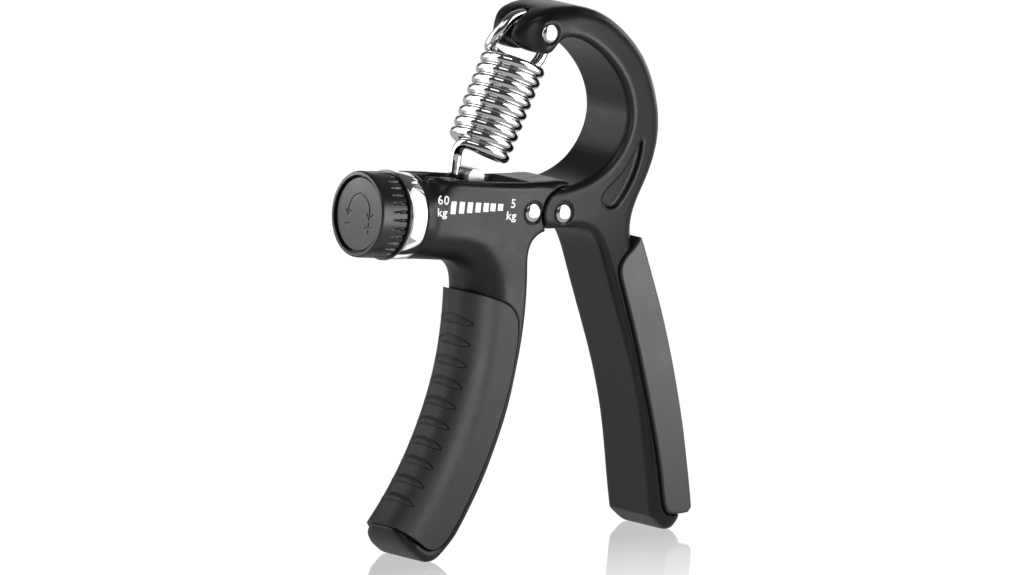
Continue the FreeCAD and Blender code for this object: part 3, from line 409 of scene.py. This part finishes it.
def flute_cut(x, radius, step):
    """Radius with the flute cut in; flutes widen and deepen towards the back."""
    run = (x - FLUTE_START) / FLUTE_LENGTH
    if radius != KNOB_R or run <= 0:
        return radius
    phase = (step % FLUTE_STEPS) / FLUTE_STEPS
    off_centre = min(phase, 1 - phase) * 2 * math.pi * KNOB_R / FLUTES
    half_width = 0.12 + 0.40 * min(1.0, run) ** 0.75
    depth = 0.50 * min(1.0, run * 1.5) ** 0.7
    if off_centre < half_width:
        radius -= depth * math.cos(0.5 * math.pi * off_centre / half_width) ** 0.7
    return radius


add_piece("vis_knob",
          *turned(KNOB_FRONT + KNOB_FLUTED + KNOB_BACK, FLUTES * FLUTE_STEPS, "x",
                  (0, KNOB_AXIS_Z), cut=flute_cut),
          "knob_plastic", "adjuster", sharp=40, replaces=("knob",))

# --------------------------------------------------------------- knob disc
DISC_R = 10.3
DISC_X, DISC_BACK_X = -62.45, -61.45
DISC_GRID = 300
GROOVE_DEPTH, GROOVE_HALF, GROOVE_WALL = 0.16, 0.16, 0.20
DISC_ROUND, DISC_DROP = 0.35, 0.30      # width and fall of the rounded edge
DISC_DISH = 0.12
ARC_R, ARC_V = 4.9, 0.6                 # engraved half circle and its centre height

# Engraved strokes, measured from the right (1) or left (-1) end of the arc:
# (end, from u, from v, to u, to v), u to the right and v up, facing the disc
STROKES = (
    (1, 0.0, 0.0, 0.15, -1.3), (-1, 0.0, 0.0, 0.1, -1.0),           # shafts
    (1, 0.15, -1.5, -1.25, -0.1), (1, 0.15, -1.5, 1.35, -0.2),      # right arrow head
    (-1, 0.1, -1.2, -1.0, -0.1), (-1, 0.1, -1.2, 1.1, -0.2),        # left arrow head
    (1, -1.5, -4.0, 1.3, -4.0), (1, -0.1, -5.3, -0.1, -2.7),        # plus
    (-1, -0.7, -3.9, 0.9, -3.9),                                    # minus
)


def segment_distance(u, v, start, end):
    along_u, along_v = end[0] - start[0], end[1] - start[1]
    off_u, off_v = u - start[0], v - start[1]
    t = (off_u * along_u + off_v * along_v) / (along_u * along_u + along_v * along_v)
    t = max(0.0, min(1.0, t))
    return math.hypot(off_u - t * along_u, off_v - t * along_v)


def engraving_distance(u, v):
    """Distance to the nearest engraved line."""
    distance = min(
        segment_distance(u, v, (end * ARC_R + u0, ARC_V + v0), (end * ARC_R + u1, ARC_V + v1))
        for end, u0, v0, u1, v1 in STROKES)
    angle = math.degrees(math.atan2(v - ARC_V, u))
    # the half circle, and a short stretch of it just below its right end
    if 0.0 <= angle <= 180.0 or -20 < angle < -12.0:
        distance = min(distance, abs(math.hypot(u, v - ARC_V) - ARC_R))
    return distance


def disc_height(u, v):
    radius = math.hypot(u, v)
    inside = abs(u) < 7.4 and -6.2 < v < 6.6        # box that holds the engraving
    distance = engraving_distance(u, v) if inside else 9.0
    t = max(0.0, min(1.0, (distance - GROOVE_HALF) / GROOVE_WALL))
    height = -GROOVE_DEPTH * (1 - t * t * (3 - 2 * t))
    if radius > DISC_R - DISC_ROUND:
        height -= DISC_DROP * ((radius - DISC_R + DISC_ROUND) / DISC_ROUND) ** 2
    return height - DISC_DISH * (1 - (radius / DISC_R) ** 2)


def build_disc():
    size = DISC_GRID

    def at(i, j):
        return i * (size + 1) + j

    verts, faces = [], []
    for i in range(size + 1):
        for j in range(size + 1):
            # map the square grid onto the disc
            p, q = 2.0 * i / size - 1, 2.0 * j / size - 1
            u = DISC_R * p * math.sqrt(max(0, 1 - q * q / 2))
            v = DISC_R * q * math.sqrt(max(0, 1 - p * p / 2))
            # facing the disc, right is -y
            verts.append((DISC_X - disc_height(u, v), -u, KNOB_AXIS_Z + v))
    for i in range(size):
        for j in range(size):
            faces.append((at(i, j), at(i + 1, j), at(i + 1, j + 1), at(i, j + 1)))
    # side wall and flat back
    rim = ([at(i, 0) for i in range(size)] + [at(size, j) for j in range(size)]
           + [at(i, size) for i in range(size, 0, -1)] + [at(0, j) for j in range(size, 0, -1)])
    first = len(verts)
    verts += [(DISC_BACK_X, verts[k][1], verts[k][2]) for k in rim]
    for m in range(len(rim)):
        n = (m + 1) % len(rim)
        faces.append((rim[m], rim[n], first + n, first + m))
    faces.append(tuple(range(first, first + len(rim))))
    add_piece("vis_knob_disc", verts, faces, "satin_disc", "adjuster", sharp=60,
              replaces=("knob_face_disc",))


build_disc()

# Flat satin rim round the disc, (x, radius)
RIM_PROFILE = [(-63.10, 10.88), (-63.20, 10.88), (-63.20, 11.56), (-63.10, 11.62),
               (-63.10, 10.88)]
add_piece("vis_knob_rim", *turned(RIM_PROFILE, 160, "x", (0, KNOB_AXIS_Z)),
          "satin_disc", "adjuster", sharp=50)

# Bright collar ring behind the knob, with rounded edges
RING_FRONT, RING_BACK = -53.15, -47.75
RING_BORE, RING_R = 10.40, 12.15
RING_EDGE = ((0.0, 11.85), (0.08, 12.04), (0.28, RING_R))      # (inset, radius)
RING_PROFILE = ([(RING_FRONT, RING_BORE)]
                + [(RING_FRONT + inset, radius) for inset, radius in RING_EDGE]
                + [(RING_BACK - inset, radius) for inset, radius in reversed(RING_EDGE)]
                + [(RING_BACK, RING_BORE), (RING_FRONT, RING_BORE)])
add_piece("vis_collar_ring", *turned(RING_PROFILE, 180, "x", (0, KNOB_AXIS_Z)),
          "chrome", "front", sharp=50, replaces=("collar_ring",))

# --------------------------------------------------------- moulded handles
VOXEL = 0.38    # mesh size of the evened handles
EVEN_ROUNDS, RELAX_ROUNDS, FINISH_ROUNDS = 4, 70, 3


def soften_handle(node, body, weight):
    """The casting with flowing corners: its surface is meshed evenly, then
    relaxed by weight(x, y, z), from 0 (kept) to 1 (fully)."""
    name = "vis_" + node
    source = NODES[node].data.copy()
    source.transform(Matrix.Scale(1 / MM, 4))
    holder = bpy.data.objects.new(name + "_tmp", source)
    SCENE.collection.objects.link(holder)
    remesh = holder.modifiers.new("even", "REMESH")
    remesh.mode = "VOXEL"
    remesh.voxel_size = VOXEL
    remesh.adaptivity = 0.0
    depsgraph = bpy.context.evaluated_depsgraph_get()
    mesh = bpy.data.meshes.new_from_object(holder.evaluated_get(depsgraph))
    bpy.data.objects.remove(holder)

    count = len(mesh.vertices)
    coords = np.empty(count * 3)
    mesh.vertices.foreach_get("co", coords)
    coords = coords.reshape(-1, 3)
    edges = np.empty(len(mesh.edges) * 2, dtype=np.int64)
    mesh.edges.foreach_get("vertices", edges)
    edges = edges.reshape(-1, 2)
    neighbours = np.bincount(edges.ravel(), minlength=count).astype(float)
    neighbours[neighbours == 0] = 1

    def pull(points):
        """From each vertex to the mean of its neighbours."""
        total = np.zeros_like(points)
        for k in range(3):
            total[:, k] = (np.bincount(edges[:, 0], points[edges[:, 1], k], count)
                           + np.bincount(edges[:, 1], points[edges[:, 0], k], count))
        return total / neighbours[:, None] - points

    def even_out(points, rounds, shrink, grow):
        """Smooth without shrinking: each step in is followed by a step out."""
        for _ in range(rounds):
            points = points + shrink * pull(points)
            points = points - grow * pull(points)
        return points

    dx, dz = coords[:, 0] - HINGE_X, coords[:, 2] - HINGE_Z
    amount = np.clip(weight(dx * COS_T - dz * SIN_T, coords[:, 1],
                            dx * SIN_T + dz * COS_T), 0, 1)
    coords = even_out(coords, EVEN_ROUNDS, shrink=0.55, grow=0.57)
    for _ in range(RELAX_ROUNDS):
        coords = coords + 0.5 * amount[:, None] * pull(coords)
    coords = even_out(coords, FINISH_ROUNDS, shrink=0.5, grow=0.52)

    coords *= MM
    mesh.vertices.foreach_set("co", coords.ravel())
    mesh.polygons.foreach_set("use_smooth", np.ones(len(mesh.polygons), dtype=bool))
    mesh.materials.clear()
    mesh.materials.append(MATERIALS["hard_plastic"])
    mesh.update()
    return hang(name, mesh, "hard_plastic", body, replaces=(node,))


def rise(value, start, end):
    """Smooth step from 0 at start to 1 at end."""
    t = np.clip((value - start) / (end - start), 0, 1)
    return t * t * (3 - 2 * t)


# In the weights each rise() bounds a zone in mm; the last factor is its softness
def front_weight(x, y, z):
    foot = rise(-z, 90.0, 95.5) * 0.75
    shoulder = rise(x, -9.0, -5.0) * rise(z, 6.6, 7.8) * 0.6
    off_flat = np.maximum(rise(np.abs(y), 6.6, 8.0), rise(-z, 3.0, 6.0))
    collar = rise(-x, 37.0, 39.5) * rise(x, -46.6, -45.8) * off_flat * 0.9
    neck = rise(-z, 9.0, 11.0) * rise(z, -22.0, -19.0) * rise(-x, 13.0, 16.0) * 0.45
    return np.maximum.reduce([foot, shoulder, collar, neck])


def rear_weight(x, y, z):
    from_pin = np.hypot(x - SPRING_PIN[0], z - SPRING_PIN[1])
    clear_of_pin = 1 - rise(-from_pin, -4.4, -3.4)
    nose = rise(-x, 1.0, 6.0) * rise(z, 38.0, 41.0) * clear_of_pin * 0.8
    foot = rise(-z, 84.0, 86.5) * 0.6
    return np.maximum(nose, foot)


front_handle = soften_handle("front_handle", "front", front_weight)
rear_handle = soften_handle("rear_handle", "rear", rear_weight)

# ------------------------------------------------- print on the near cheek
# the print's material glows a little: painted light on top of its real white
PRINT_LIFT = 0.022
MARK_STARTS = (-39.4, -36.5, -33.7, -30.9, -28.2, -25.8, -23.2)
MARK_WIDTH = 1.8
MARK_GRID = 6
front_tree = design_tree(front_handle.data)


def on_near_cheek(x, z):
    return (x, surface_y(front_tree, x, z, side=-1, start=16) - PRINT_LIFT, z)


def build_scale_marks():
    """A row of marks whose lower edge climbs and upper edge drops to the rear."""
    verts, faces = [], []
    n = MARK_GRID
    for mark, x0 in enumerate(MARK_STARTS):
        part = mark / (len(MARK_STARTS) - 1)
        z0, z1 = -1.2 + 1.4 * part, 2.3 - 0.2 * part
        first = len(verts)
        for i in range(n + 1):
            for j in range(n + 1):
                verts.append(on_near_cheek(x0 + MARK_WIDTH * i / n, z0 + (z1 - z0) * j / n))
        for i in range(n):
            for j in range(n):
                k = first + i * (n + 1) + j
                faces.append((k, k + n + 1, k + n + 2, k + 1))
    add_piece("scale_marks", verts, faces, "print_white_glowing", "front")


def build_figures(name, text, centre, height, stretch=1.0, bold=0.010):
    """Printed text, height in mm, widened by stretch."""
    font = bpy.data.curves.new(name + "_crv", "FONT")
    font.body = text
    font.size = 1.0
    font.align_x = "CENTER"
    font.align_y = "CENTER"
    font.resolution_u = 6
    font.offset = bold
    font.space_character = 1.12
    holder = bpy.data.objects.new(name + "_tmp", font)
    SCENE.collection.objects.link(holder)
    depsgraph = bpy.context.evaluated_depsgraph_get()
    flat = bpy.data.meshes.new_from_object(holder.evaluated_get(depsgraph))
    work = bmesh.new()
    work.from_mesh(flat)
    bmesh.ops.triangulate(work, faces=work.faces)
    bmesh.ops.subdivide_edges(work, edges=work.edges, cuts=1, use_grid_fill=True)
    bmesh.ops.triangulate(work, faces=work.faces)
    across = [v.co.x for v in work.verts]
    upward = [v.co.y for v in work.verts]
    mid_x, mid_y = (min(across) + max(across)) / 2, (min(upward) + max(upward)) / 2
    scale = height / (max(upward) - min(upward))
    work.verts.ensure_lookup_table()
    verts = [on_near_cheek(centre[0] + (v.co.x - mid_x) * scale * stretch,
                           centre[1] + (v.co.y - mid_y) * scale) for v in work.verts]
    faces = [tuple(v.index for v in face.verts) for face in work.faces]
    work.free()
    bpy.data.objects.remove(holder)
    bpy.data.curves.remove(font)
    bpy.data.meshes.remove(flat)
    add_piece(name, verts, faces, "print_white_glowing", "front", smooth=False)


build_scale_marks()
build_figures("fig_max", "60", (-42.0, 2.55), height=2.5)
build_figures("fig_max_unit", "kg", (-42.2, -1.2), height=3.0, stretch=1.2, bold=0.018)
build_figures("fig_min", "5", (-18.0, 2.3), height=2.5)
build_figures("fig_min_unit", "kg", (-18.2, -1.4), height=3.0, stretch=1.12, bold=0.018)

# ---------------------------------------- painted shade line on both rear cheeks
# (x, z) along the edge of the rear handle's inner face, going down
SHADE_LINE = [(16.6, -9.6), (20.3, -17.6), (26.6, -31.2), (33.2, -46.2), (37.6, -59.0),
              (40.6, -70.0)]
SHADE_LINE_WIDTH = 0.28
SHADE_LINE_LIFT = 0.02


def build_shade_line(name, side, tree):
    """Dark ribbon of painted shade laid onto one cheek, tapering over its first and last steps.
    """
    path = catmull_rom(SHADE_LINE, steps=10)
    last = len(path) - 1
    verts = []
    for i, (x, z) in enumerate(path):
        x0, z0 = path[max(0, i - 1)]
        x1, z1 = path[min(last, i + 1)]
        length = math.hypot(x1 - x0, z1 - z0)
        across_x, across_z = -(z1 - z0) / length, (x1 - x0) / length
        taper = min(1.0, 0.25 + 0.25 * min(i, last - i))
        for half in (-0.5, 0.5):
            edge_x = x + across_x * SHADE_LINE_WIDTH * half * taper
            edge_z = z + across_z * SHADE_LINE_WIDTH * half * taper
            y = surface_y(tree, edge_x, edge_z, side, start=18)
            verts.append((edge_x, y + side * SHADE_LINE_LIFT, edge_z))
    faces = [(2 * i, 2 * i + 1, 2 * i + 3, 2 * i + 2) for i in range(last)]
    # the ribbon is painted shade along the edge of the inner face
    add_piece(name, verts, faces, "painted_shade_black", "rear")


rear_tree = design_tree(rear_handle.data)
build_shade_line("panel_line_near", -1, rear_tree)
build_shade_line("panel_line_far", 1, rear_tree)

# ------------------------------------------------------------- finger ribs
# (x, z) down the front of the grip
GRIP_FRONT = [(-27.0, -23.4), (-26.6, -33.6), (-27.4, -45.6), (-30.0, -57.8),
              (-33.6, -68.6), (-38.6, -79.4), (-44.4, -88.9)]
RIBS = 10
RIB_START, RIB_PITCH = 7.9, 5.86        # first rib and spacing along the grip
RIB_REACH, RIB_HALF = 7.7, 1.28         # half length round the grip, half width
RIB_SWEEP = 0.9                         # how far the tips drop along the grip
RIB_HEIGHT, RIB_SINK = 0.60, 0.06
# each rib gets a dark outline a little larger than itself: painted shade round the rib
OUTLINE_REACH, OUTLINE_HALF = 0.35, 0.17        # how much an outline overhangs its rib
OUTLINE_LIFT = 0.018
FLAT_HALF, WRAP_R = 2.15, 9.0           # grip section: flat front, then an arc
RIB_U, RIB_V = 46, 14                   # divisions along and across a rib

grip_curve = catmull_rom(GRIP_FRONT, steps=24)
grip_arc = [0.0]
for a, b in zip(grip_curve, grip_curve[1:]):
    grip_arc.append(grip_arc[-1] + math.hypot(b[0] - a[0], b[1] - a[1]))
grip_tree = design_tree(NODES["front_grip"].data)


def grip_front_at(distance):
    """Point on the grip's front line and its outward normal: x, z, nx, nz."""
    distance = max(0.0, min(grip_arc[-1] - 1e-6, distance))
    i = bisect.bisect_right(grip_arc, distance) - 1
    t = (distance - grip_arc[i]) / (grip_arc[i + 1] - grip_arc[i])
    (x0, z0), (x1, z1) = grip_curve[i], grip_curve[i + 1]
    before = grip_curve[max(0, i - 3)]
    after = grip_curve[min(len(grip_curve) - 1, i + 4)]
    tx, tz = after[0] - before[0], after[1] - before[1]
    length = math.hypot(tx, tz)
    nx, nz = tz / length, -tx / length
    if nx > 0:                          # outward is away from the rear handle
        nx, nz = -nx, -nz
    return x0 + (x1 - x0) * t, z0 + (z1 - z0) * t, nx, nz


def rib_point(rib, u, v, outline):
    """Point of a rib or of its painted shade outline; u runs round the grip, v along it, -1 to
    1.
    """
    around = (RIB_REACH + (OUTLINE_REACH if outline else 0.0)) * u
    half = RIB_HALF * (1 - abs(u) ** 2.3) ** 0.80 + (OUTLINE_HALF if outline else 0.0)
    x, z, nx, nz = grip_front_at(RIB_START + RIB_PITCH * rib + half * v
                                 + RIB_SWEEP * abs(u) ** 1.5)
    angle = max(0.0, abs(around) - FLAT_HALF) / WRAP_R
    inward = WRAP_R * (1 - math.cos(angle))
    y = min(abs(around), FLAT_HALF) + WRAP_R * math.sin(angle)
    point = Vector((x - nx * inward, math.copysign(y, around), z - nz * inward))
    normal = Vector((nx * math.cos(angle), math.copysign(math.sin(angle), around),
                     nz * math.cos(angle)))
    hit = grip_tree.ray_cast(point + normal * 2.5, -normal)[0]
    if hit is not None and (hit - point).length < 2.0:
        point = hit
    if outline:
        return point + normal * OUTLINE_LIFT
    lens = math.sin(math.pi * ((v + 1) / 2) ** 1.35) ** 0.75
    return point + normal * (RIB_HEIGHT * (1 - abs(u) ** 2.2) ** 0.7 * lens - RIB_SINK)


def build_ribs(name, material, outline):
    """Lens shapes wrapped round the front of the grip."""
    verts, faces = [], []
    for rib in range(RIBS):
        first = len(verts)
        for i in range(RIB_U + 1):
            for j in range(RIB_V + 1):
                verts.append(tuple(rib_point(rib, -1 + 2 * i / RIB_U, -1 + 2 * j / RIB_V,
                                             outline)))
        for i in range(RIB_U):
            for j in range(RIB_V):
                k = first + i * (RIB_V + 1) + j
                faces.append((k, k + 1, k + RIB_V + 2, k + RIB_V + 1))
    add_piece(name, verts, faces, material, "front")


build_ribs("grip_ribs", "soft_grip", outline=False)
# dark outlines round the ribs: painted shade
build_ribs("grip_rib_lines", "painted_shade_black", outline=True)

# ---------------------------------------------------------- tension spring
COIL_START, COIL_END = 7.5, 38.0        # stretching part, mm from the spring pin


def stretch_spring(spring):
    """Geometry nodes that turn and stretch the spring from its pin to the nut."""
    pin = packed(SPRING_PIN[0], 0, SPRING_PIN[1])
    foot = packed(SPRING_FOOT[0], 0, SPRING_FOOT[1])
    axis = foot - pin
    rest_length = axis.length
    axis.normalize()
    across = Vector((0, 1, 0))
    tree = bpy.data.node_groups.new("stretch_spring", "GeometryNodeTree")
    for direction in ("INPUT", "OUTPUT"):
        tree.interface.new_socket("Geometry", in_out=direction,
                                  socket_type="NodeSocketGeometry")
    geometry_in = add_node(tree, "NodeGroupInput").outputs[0]

    # where the nut carries the foot now, and the axes of the moved spring
    nut = add_node(tree, "GeometryNodeObjectInfo", {"Object": bpy.data.objects["body:nut"]},
                   transform_space="RELATIVE")
    moved_foot = add_node(tree, "FunctionNodeTransformPoint",
                          {"Vector": foot, "Transform": nut.outputs["Transform"]})
    reach = vector_node(tree, "SUBTRACT", moved_foot.outputs["Vector"], pin)
    new_length = vector_node(tree, "LENGTH", reach)
    new_axis = vector_node(tree, "NORMALIZE", reach)
    new_normal = vector_node(tree, "CROSS_PRODUCT", new_axis, across)

    # each point in the axes of the spring at rest
    position = add_node(tree, "GeometryNodeInputPosition").outputs["Position"]
    offset = vector_node(tree, "SUBTRACT", position, pin)
    along = vector_node(tree, "DOT_PRODUCT", offset, axis)
    out = vector_node(tree, "DOT_PRODUCT", offset, axis.cross(across))
    side = vector_node(tree, "DOT_PRODUCT", offset, across)

    # the hooks keep their shape: only the coils take up the change of length
    share = map_range(tree, along, COIL_START * MM, COIL_END * MM, 0.0, 1.0)
    growth = math_node(tree, "SUBTRACT", new_length, rest_length)
    new_along = math_node(tree, "ADD", along, math_node(tree, "MULTIPLY", growth, share))
    total = vector_node(tree, "SCALE", new_axis, scale=new_along)
    for direction, amount in ((new_normal, out), (across, side)):
        total = vector_node(tree, "ADD", total,
                            vector_node(tree, "SCALE", direction, scale=amount))
    placed = add_node(tree, "GeometryNodeSetPosition", {
        "Geometry": geometry_in, "Position": vector_node(tree, "ADD", total, pin)})
    add_node(tree, "NodeGroupOutput", {0: placed.outputs["Geometry"]})
    spring.modifiers.new("stretch", "NODES").node_group = tree


spring_mesh = NODES["tension_spring"].data.copy()
spring_mesh.name = "vis_spring"
for polygon in spring_mesh.polygons:
    polygon.use_smooth = True
stretch_spring(hang("vis_spring", spring_mesh, "spring_chrome", "spring",
                    replaces=("tension_spring",)))

# ------------------------------------------------------------------ camera
AZIMUTH, ELEVATION = math.radians(-36.5), math.radians(10.0)
FORWARD = Vector((-math.sin(AZIMUTH) * math.cos(ELEVATION),
                  math.cos(AZIMUTH) * math.cos(ELEVATION), -math.sin(ELEVATION)))
RIGHT = Vector((math.cos(AZIMUTH), math.sin(AZIMUTH), 0)).normalized()
UP = RIGHT.cross(FORWARD).normalized()
CAMERA_DISTANCE = 6.0                   # metres
VIEW_WIDTH = 282.825485                 # mm across the view at that distance
HINGE_FACE_Y = -11.8                    # near face at the hinge, mm
AIM_LEFT, AIM_DOWN = 15.373961, 20.332410       # aim point from that face, mm


def build_camera():
    data = bpy.data.cameras.new("view_camera")
    camera = bpy.data.objects.new("view_camera", data)
    SCENE.collection.objects.link(camera)
    SCENE.camera = camera
    target = packed(0, HINGE_FACE_Y, 0) - RIGHT * (AIM_LEFT * MM) - UP * (AIM_DOWN * MM)
    camera.location = target - FORWARD * CAMERA_DISTANCE
    camera.rotation_mode = "QUATERNION"
    camera.rotation_quaternion = FORWARD.to_track_quat("-Z", "Y")
    data.sensor_width = 36.0
    data.lens = 36.0 * CAMERA_DISTANCE / (VIEW_WIDTH * MM)
    data.clip_start = 0.1
    data.clip_end = 50.0


build_camera()
SCENE.view_settings.view_transform = "Standard"
SCENE.view_settings.look = "None"
SCENE.view_settings.exposure = 0.0
SCENE.view_settings.gamma = 1.0

# --------------------------------------------------------- floor and world
FLOOR_HALF = 12.0                       # metres
FLOOR_MIRROR = 0.48                     # share of mirror reflection
FLOOR_GLOW, FLOOR_GLOW_SEEN = 0.42, 1.03        # for other rays, for the camera
WORLD_BEHIND, WORLD_AHEAD = 0.05, 0.12  # dim wall behind and ahead of the camera
WORLD_SEEN = 1.02                       # white wall the camera sees


def cos_deg(angle):
    return math.cos(math.radians(angle))


def build_floor():
    """A pale floor that glows evenly and mirrors the feet softly."""
    work = bmesh.new()
    work.faces.new([work.verts.new((x * FLOOR_HALF, y * FLOOR_HALF, 0))
                    for x, y in ((-1, -1), (1, -1), (1, 1), (-1, 1))])
    mesh = bpy.data.meshes.new("studio_floor")
    work.to_mesh(mesh)
    work.free()
    floor = bpy.data.objects.new("studio_floor", mesh)
    SCENE.collection.objects.link(floor)

    material, tree = new_material("studio_floor")
    seen = add_node(tree, "ShaderNodeLightPath").outputs["Is Camera Ray"]
    glow = add_node(tree, "ShaderNodeEmission", {
        "Color": (1, 1, 1, 1),
        "Strength": map_range(tree, seen, 0.0, 1.0, FLOOR_GLOW, FLOOR_GLOW_SEEN)})
    mirror = add_node(tree, "ShaderNodeBsdfGlossy",
                      {"Color": (1, 1, 1, 1), "Roughness": 0.05})
    # the mirror weakens towards the near side, and works only along the view
    geometry = add_node(tree, "ShaderNodeNewGeometry")
    position = add_node(tree, "ShaderNodeSeparateXYZ", {0: geometry.outputs["Position"]})
    strength = map_range(tree, position.outputs["Y"], -0.075, -0.011,
                         FLOOR_MIRROR * 0.35, FLOOR_MIRROR)
    alignment = vector_node(tree, "DOT_PRODUCT", geometry.outputs["Incoming"], -FORWARD)
    facing = map_range(tree, alignment, cos_deg(9), cos_deg(6), 0.0, 1.0)
    mixed = add_node(tree, "ShaderNodeMixShader", {
        0: math_node(tree, "MULTIPLY", strength, facing),
        1: glow.outputs[0], 2: mirror.outputs[0]})
    add_node(tree, "ShaderNodeOutputMaterial", {"Surface": mixed.outputs[0]})
    mesh.materials.append(material)
    floor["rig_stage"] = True


def build_world():
    """White where the camera looks, dim elsewhere so that the soft boxes draw
    the reflections."""
    world = bpy.data.worlds.new("studio")
    SCENE.world = world
    world.use_nodes = True
    tree = world.node_tree
    tree.nodes.clear()
    direction = add_node(tree, "ShaderNodeTexCoord").outputs["Generated"]
    level_forward = Vector((FORWARD.x, FORWARD.y, 0)).normalized()
    ahead = vector_node(tree, "DOT_PRODUCT", direction, level_forward)
    dim = map_range(tree, ahead, -0.2, 0.9, WORLD_BEHIND, WORLD_AHEAD)
    # the patch of wall that the floor mirrors into the camera is white too
    mirrored = vector_node(tree, "DOT_PRODUCT", direction,
                           Vector((FORWARD.x, FORWARD.y, -FORWARD.z)))
    seen = math_node(tree, "MAXIMUM",
                     add_node(tree, "ShaderNodeLightPath").outputs["Is Camera Ray"],
                     map_range(tree, mirrored, cos_deg(16), cos_deg(11), 0.0, 1.0))
    # sockets 2 and 3 are the two floats of the mix
    level = add_node(tree, "ShaderNodeMix", {0: seen, 2: dim, 3: WORLD_SEEN},
                     data_type="FLOAT").outputs[0]
    grey = add_node(tree, "ShaderNodeCombineColor", {0: level, 1: level, 2: level})
    background = add_node(tree, "ShaderNodeBackground",
                          {"Color": grey.outputs[0], "Strength": 1.0})
    add_node(tree, "ShaderNodeOutputWorld", {"Surface": background.outputs[0]})


build_floor()
build_world()

# ------------------------------------------------------------------ lights
METAL_SLOTS = {"chrome", "spring_chrome", "rivet_chrome", "zinc"}
FRONT_NAMES = {"vis_front_handle", "front_grip", "grip_ribs", "grip_rib_lines", "scale_marks"}

# Which objects each group of lights falls on
LIT_TESTS = {
    "metal": lambda o: o.get("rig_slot") in METAL_SLOTS,
    "front": lambda o: o.name in FRONT_NAMES or o.name.startswith("fig_"),
    "knob": lambda o: o.name.startswith("vis_knob"),
    "rear": lambda o: o.name == "vis_rear_handle",
    "pad": lambda o: o.name == "rear_grip_pad",
    "grip": lambda o: o.name in ("front_grip", "grip_ribs"),
    "ring": lambda o: o.name == "vis_collar_ring",
    "object": lambda o: True,
    "body": lambda o: o.name in ("vis_front_handle", "vis_rear_handle"),
}

LIGHT_ORIGIN = Vector((0, 0, 0.078))    # middle of the gripper, metres
# Soft boxes in mm along the camera's right, up and towards-camera axes:
# (name, place, aim, width, height, radiance, lit group)
SOFT_BOXES = (
    # behind on the left
    ("back_left", (-560, 40, -200), (0, 0, 0), 420, 900, 1.15, "object"),
    ("knob_back", (-380, 20, -130), (-40, 10, 0), 260, 300, 0.38, "knob"),
    # close to the knob, left and right
    ("knob_high", (-92, 36, 8), (-46, 22, 30), 24, 24, 5.2, "knob"),
    ("knob_side", (150, 0, 110), (-40, 10, 0), 130, 150, 3.0, "knob"),
    # sheen on the near cheeks, grip and metal
    ("side_front", (190, -80, 60), (-10, -20, 0), 110, 140, 3.4, "front"),
    ("side_front_top", (170, 45, 70), (-20, 15, 0), 90, 70, 4.4, "front"),
    ("side_rear", (260, -140, 60), (40, -60, 0), 140, 180, 0.8, "rear"),
    ("side_pad", (240, -40, 60), (40, -40, 0), 150, 280, 8.5, "pad"),
    ("grip_fill", (130, -40, 620), (-20, -30, 0), 460, 260, 4.0, "grip"),
    ("grip_fill_low", (60, -90, 300), (-20, -50, 0), 200, 100, 4.0, "grip"),
    ("grip_side", (170, -90, 60), (-20, -40, 0), 110, 160, 0.9, "grip"),
    ("side_metal", (240, 20, 60), (-20, 20, 0), 240, 600, 2.8, "metal"),
    ("left_metal", (-260, 60, 40), (-20, 20, 0), 200, 700, 2.2, "metal"),
    ("arm_band", (92, 22, 42), (40, 42, 0), 36, 60, 4.0, "rear"),
    ("edge_cam", (-60, 30, 900), (20, 0, 0), 150, 300, 4.0, "body"),
    # rims from behind on the right
    ("rim_behind", (190, 30, -700), (30, 10, 0), 260, 700, 1.6, "body"),
    ("rim_pad", (150, 0, -700), (30, 10, 0), 190, 700, 0.7, "pad"),
    ("rim_right", (330, 60, -700), (20, 0, 0), 260, 900, 1.2, "object"),
    ("arm_out", (300, 130, -170), (35, 45, 0), 150, 220, 2.6, "rear"),
    # collar ring
    ("ring_white", (46, 14, 42), (-34, 12, 28), 110, 230, 0.98, "ring"),
    ("ring_low", (-4, -62, -14), (-34, 12, 28), 90, 60, 0.7, "ring"),
    # high on the camera's side
    ("over_camera", (-150, 700, 700), (0, 20, 0), 500, 400, 1.6, "object"),
)


def lit_collection(key, test):
    group = bpy.data.collections.new("lit_" + key)
    for candidate in bpy.data.objects:
        if candidate.type == "MESH" and not candidate.get("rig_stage") and test(candidate):
            group.objects.link(candidate)
    return group


def from_camera_axes(right, up, towards):
    return LIGHT_ORIGIN + (RIGHT * right + UP * up - FORWARD * towards) * MM


def add_soft_box(name, place, aim, width, height, radiance, group):
    data = bpy.data.lights.new(name, "AREA")
    data.shape = "RECTANGLE"
    data.size = width * MM
    data.size_y = height * MM
    data.energy = radiance * math.pi * width * height * MM * MM
    light = bpy.data.objects.new(name, data)
    SCENE.collection.objects.link(light)
    light.location = from_camera_axes(*place)
    light.rotation_mode = "QUATERNION"
    beam = from_camera_axes(*aim) - from_camera_axes(*place)
    light.rotation_quaternion = beam.to_track_quat("-Z", "Y")
    light.visible_camera = False
    light.light_linking.receiver_collection = group


lit_groups = {key: lit_collection(key, test) for key, test in LIT_TESTS.items()}
for *settings, key in SOFT_BOXES:
    add_soft_box(*settings, lit_groups[key])
